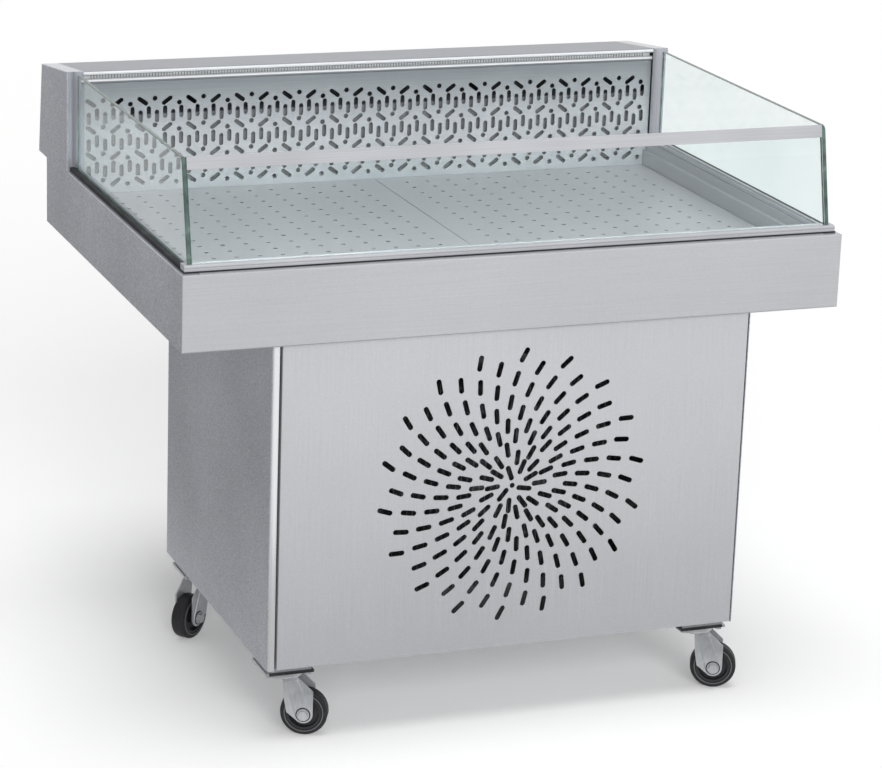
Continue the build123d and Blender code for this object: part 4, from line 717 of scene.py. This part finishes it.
# Floor: pale grey to light that bounces off it, white with a soft shadow where it is seen
FLOOR_HALF = 60.0
FLOOR_BOUNCE = (0.6, 0.6, 0.6, 1)
FLOOR_PALE = (0.83, 0.83, 0.83, 1)
FLOOR_GLOW = 0.17
SEEN_RAYS = ("Is Camera Ray", "Is Glossy Ray", "Is Transmission Ray")


def seen_directly(tree):
    """Socket that is 1 for rays that show a surface: to the camera, in a reflection or through glass."""
    path = tree.nodes.new("ShaderNodeLightPath")
    seen = path.outputs[SEEN_RAYS[0]]
    for ray in SEEN_RAYS[1:]:
        either = tree.nodes.new("ShaderNodeMath")
        either.operation = "MAXIMUM"
        tree.links.new(seen, either.inputs[0])
        tree.links.new(path.outputs[ray], either.inputs[1])
        seen = either.outputs[0]
    return seen


def stage_material(name):
    """New material of the stage, with no node but its output, given as (material, output socket)."""
    material = bpy.data.materials.new(name)
    material.use_nodes = True
    material.node_tree.nodes.clear()
    output = material.node_tree.nodes.new("ShaderNodeOutputMaterial")
    return material, output.inputs["Surface"]


def floor_look():
    """Floor material."""
    material, surface = stage_material("floor")
    tree = material.node_tree
    bounce = tree.nodes.new("ShaderNodeBsdfDiffuse")
    bounce.inputs["Color"].default_value = FLOOR_BOUNCE
    pale = tree.nodes.new("ShaderNodeBsdfDiffuse")
    pale.inputs["Color"].default_value = FLOOR_PALE
    glow = tree.nodes.new("ShaderNodeEmission")
    glow.inputs["Strength"].default_value = FLOOR_GLOW
    shown = tree.nodes.new("ShaderNodeAddShader")
    tree.links.new(pale.outputs[0], shown.inputs[0])
    tree.links.new(glow.outputs[0], shown.inputs[1])
    tree.links.new(mixed(tree, seen_directly(tree), bounce.outputs[0], shown.outputs[0]), surface)
    return material


def stage_sheet(name, corners, look):
    """Flat sheet of the stage, by its four corners."""
    mesh = bpy.data.meshes.new(name)
    mesh.from_pydata(corners, [], [(0, 1, 2, 3)])
    mesh.materials.append(look)
    sheet = bpy.data.objects.new(name, mesh)
    bpy.context.scene.collection.objects.link(sheet)
    return sheet


def level_corners(x, y, z):
    """Corners of a level rectangle, by its limits in x and y and its height."""
    return [(x[0], y[0], z), (x[1], y[0], z), (x[1], y[1], z), (x[0], y[1], z)]


FLOOR_SPAN = (-FLOOR_HALF, FLOOR_HALF)
stage_sheet("floor", level_corners(FLOOR_SPAN, FLOOR_SPAN, 0), floor_look())

# Light: a soft lamp overhead, another before the case and a little to the left, and an even surround. The
# lamps have no highlights of their own: polished surfaces reflect the white surround and the grey cards.
# A lamp has a strength, and a softness and a tilt in degrees.
SURROUND = 0.3
LAMP_BEARING = -8.0
LAMPS = {
    "lamp_top": (1.4, 35.0, 5.0),
    "lamp_front": (2.4, 40.0, 70.0),
}
for name, (strength, softness, tilt) in LAMPS.items():
    lamp_data = bpy.data.lights.new(name, "SUN")
    lamp_data.energy = strength
    lamp_data.angle = radians(softness)
    lamp = bpy.data.objects.new(name, lamp_data)
    lamp.rotation_euler = (radians(tilt), 0, radians(LAMP_BEARING))
    lamp.visible_glossy = False
    bpy.context.scene.collection.objects.link(lamp)


def white_backdrop(tree, strength):
    """White background of a strength."""
    shade = tree.nodes.new("ShaderNodeBackground")
    shade.inputs["Color"].default_value = (1, 1, 1, 1)
    shade.inputs["Strength"].default_value = strength
    return shade.outputs[0]


world = bpy.data.worlds.new("surround")
bpy.context.scene.world = world
world.use_nodes = True
sky = world.node_tree
sky.nodes.clear()
sky_output = sky.nodes.new("ShaderNodeOutputWorld")
backdrop = mixed(sky, seen_directly(sky), white_backdrop(sky, SURROUND), white_backdrop(sky, 1.0))
sky.links.new(backdrop, sky_output.inputs["Surface"])

# Grey cards to the left of the case and on the floor before it, each with its strength and its corners. Only
# reflections show them.
CARD_X = (-1.25, -0.72)
CARD_Y = (-0.9, 3.5)
CARD_HEIGHT = 2.2
CARD_LIFT = 0.002
FRONT_X = (-1.4, 1.8)
FRONT_Y = (-1.5, -0.62)
WALL_CORNERS = [
    (CARD_X[0], CARD_Y[0], 0),
    (CARD_X[0], CARD_Y[1], 0),
    (CARD_X[0], CARD_Y[1], CARD_HEIGHT),
    (CARD_X[0], CARD_Y[0], CARD_HEIGHT),
]
CARDS = {
    "card_wall": (0.45, WALL_CORNERS),
    "card_left": (0.18, level_corners(CARD_X, CARD_Y, CARD_LIFT)),
    "card_front": (0.1, level_corners(FRONT_X, FRONT_Y, CARD_LIFT)),
}


def card_look(name, strength):
    """Even grey card; a strength of 1 is white."""
    material, surface = stage_material(name)
    shade = material.node_tree.nodes.new("ShaderNodeEmission")
    shade.inputs["Strength"].default_value = strength
    material.node_tree.links.new(shade.outputs[0], surface)
    return material


for name, (strength, corners) in CARDS.items():
    card = stage_sheet(name, corners, card_look(name, strength))
    card.visible_camera = False
    card.visible_diffuse = False
    card.visible_transmission = False
    card.visible_shadow = False

bpy.context.scene.view_settings.view_transform = "Standard"
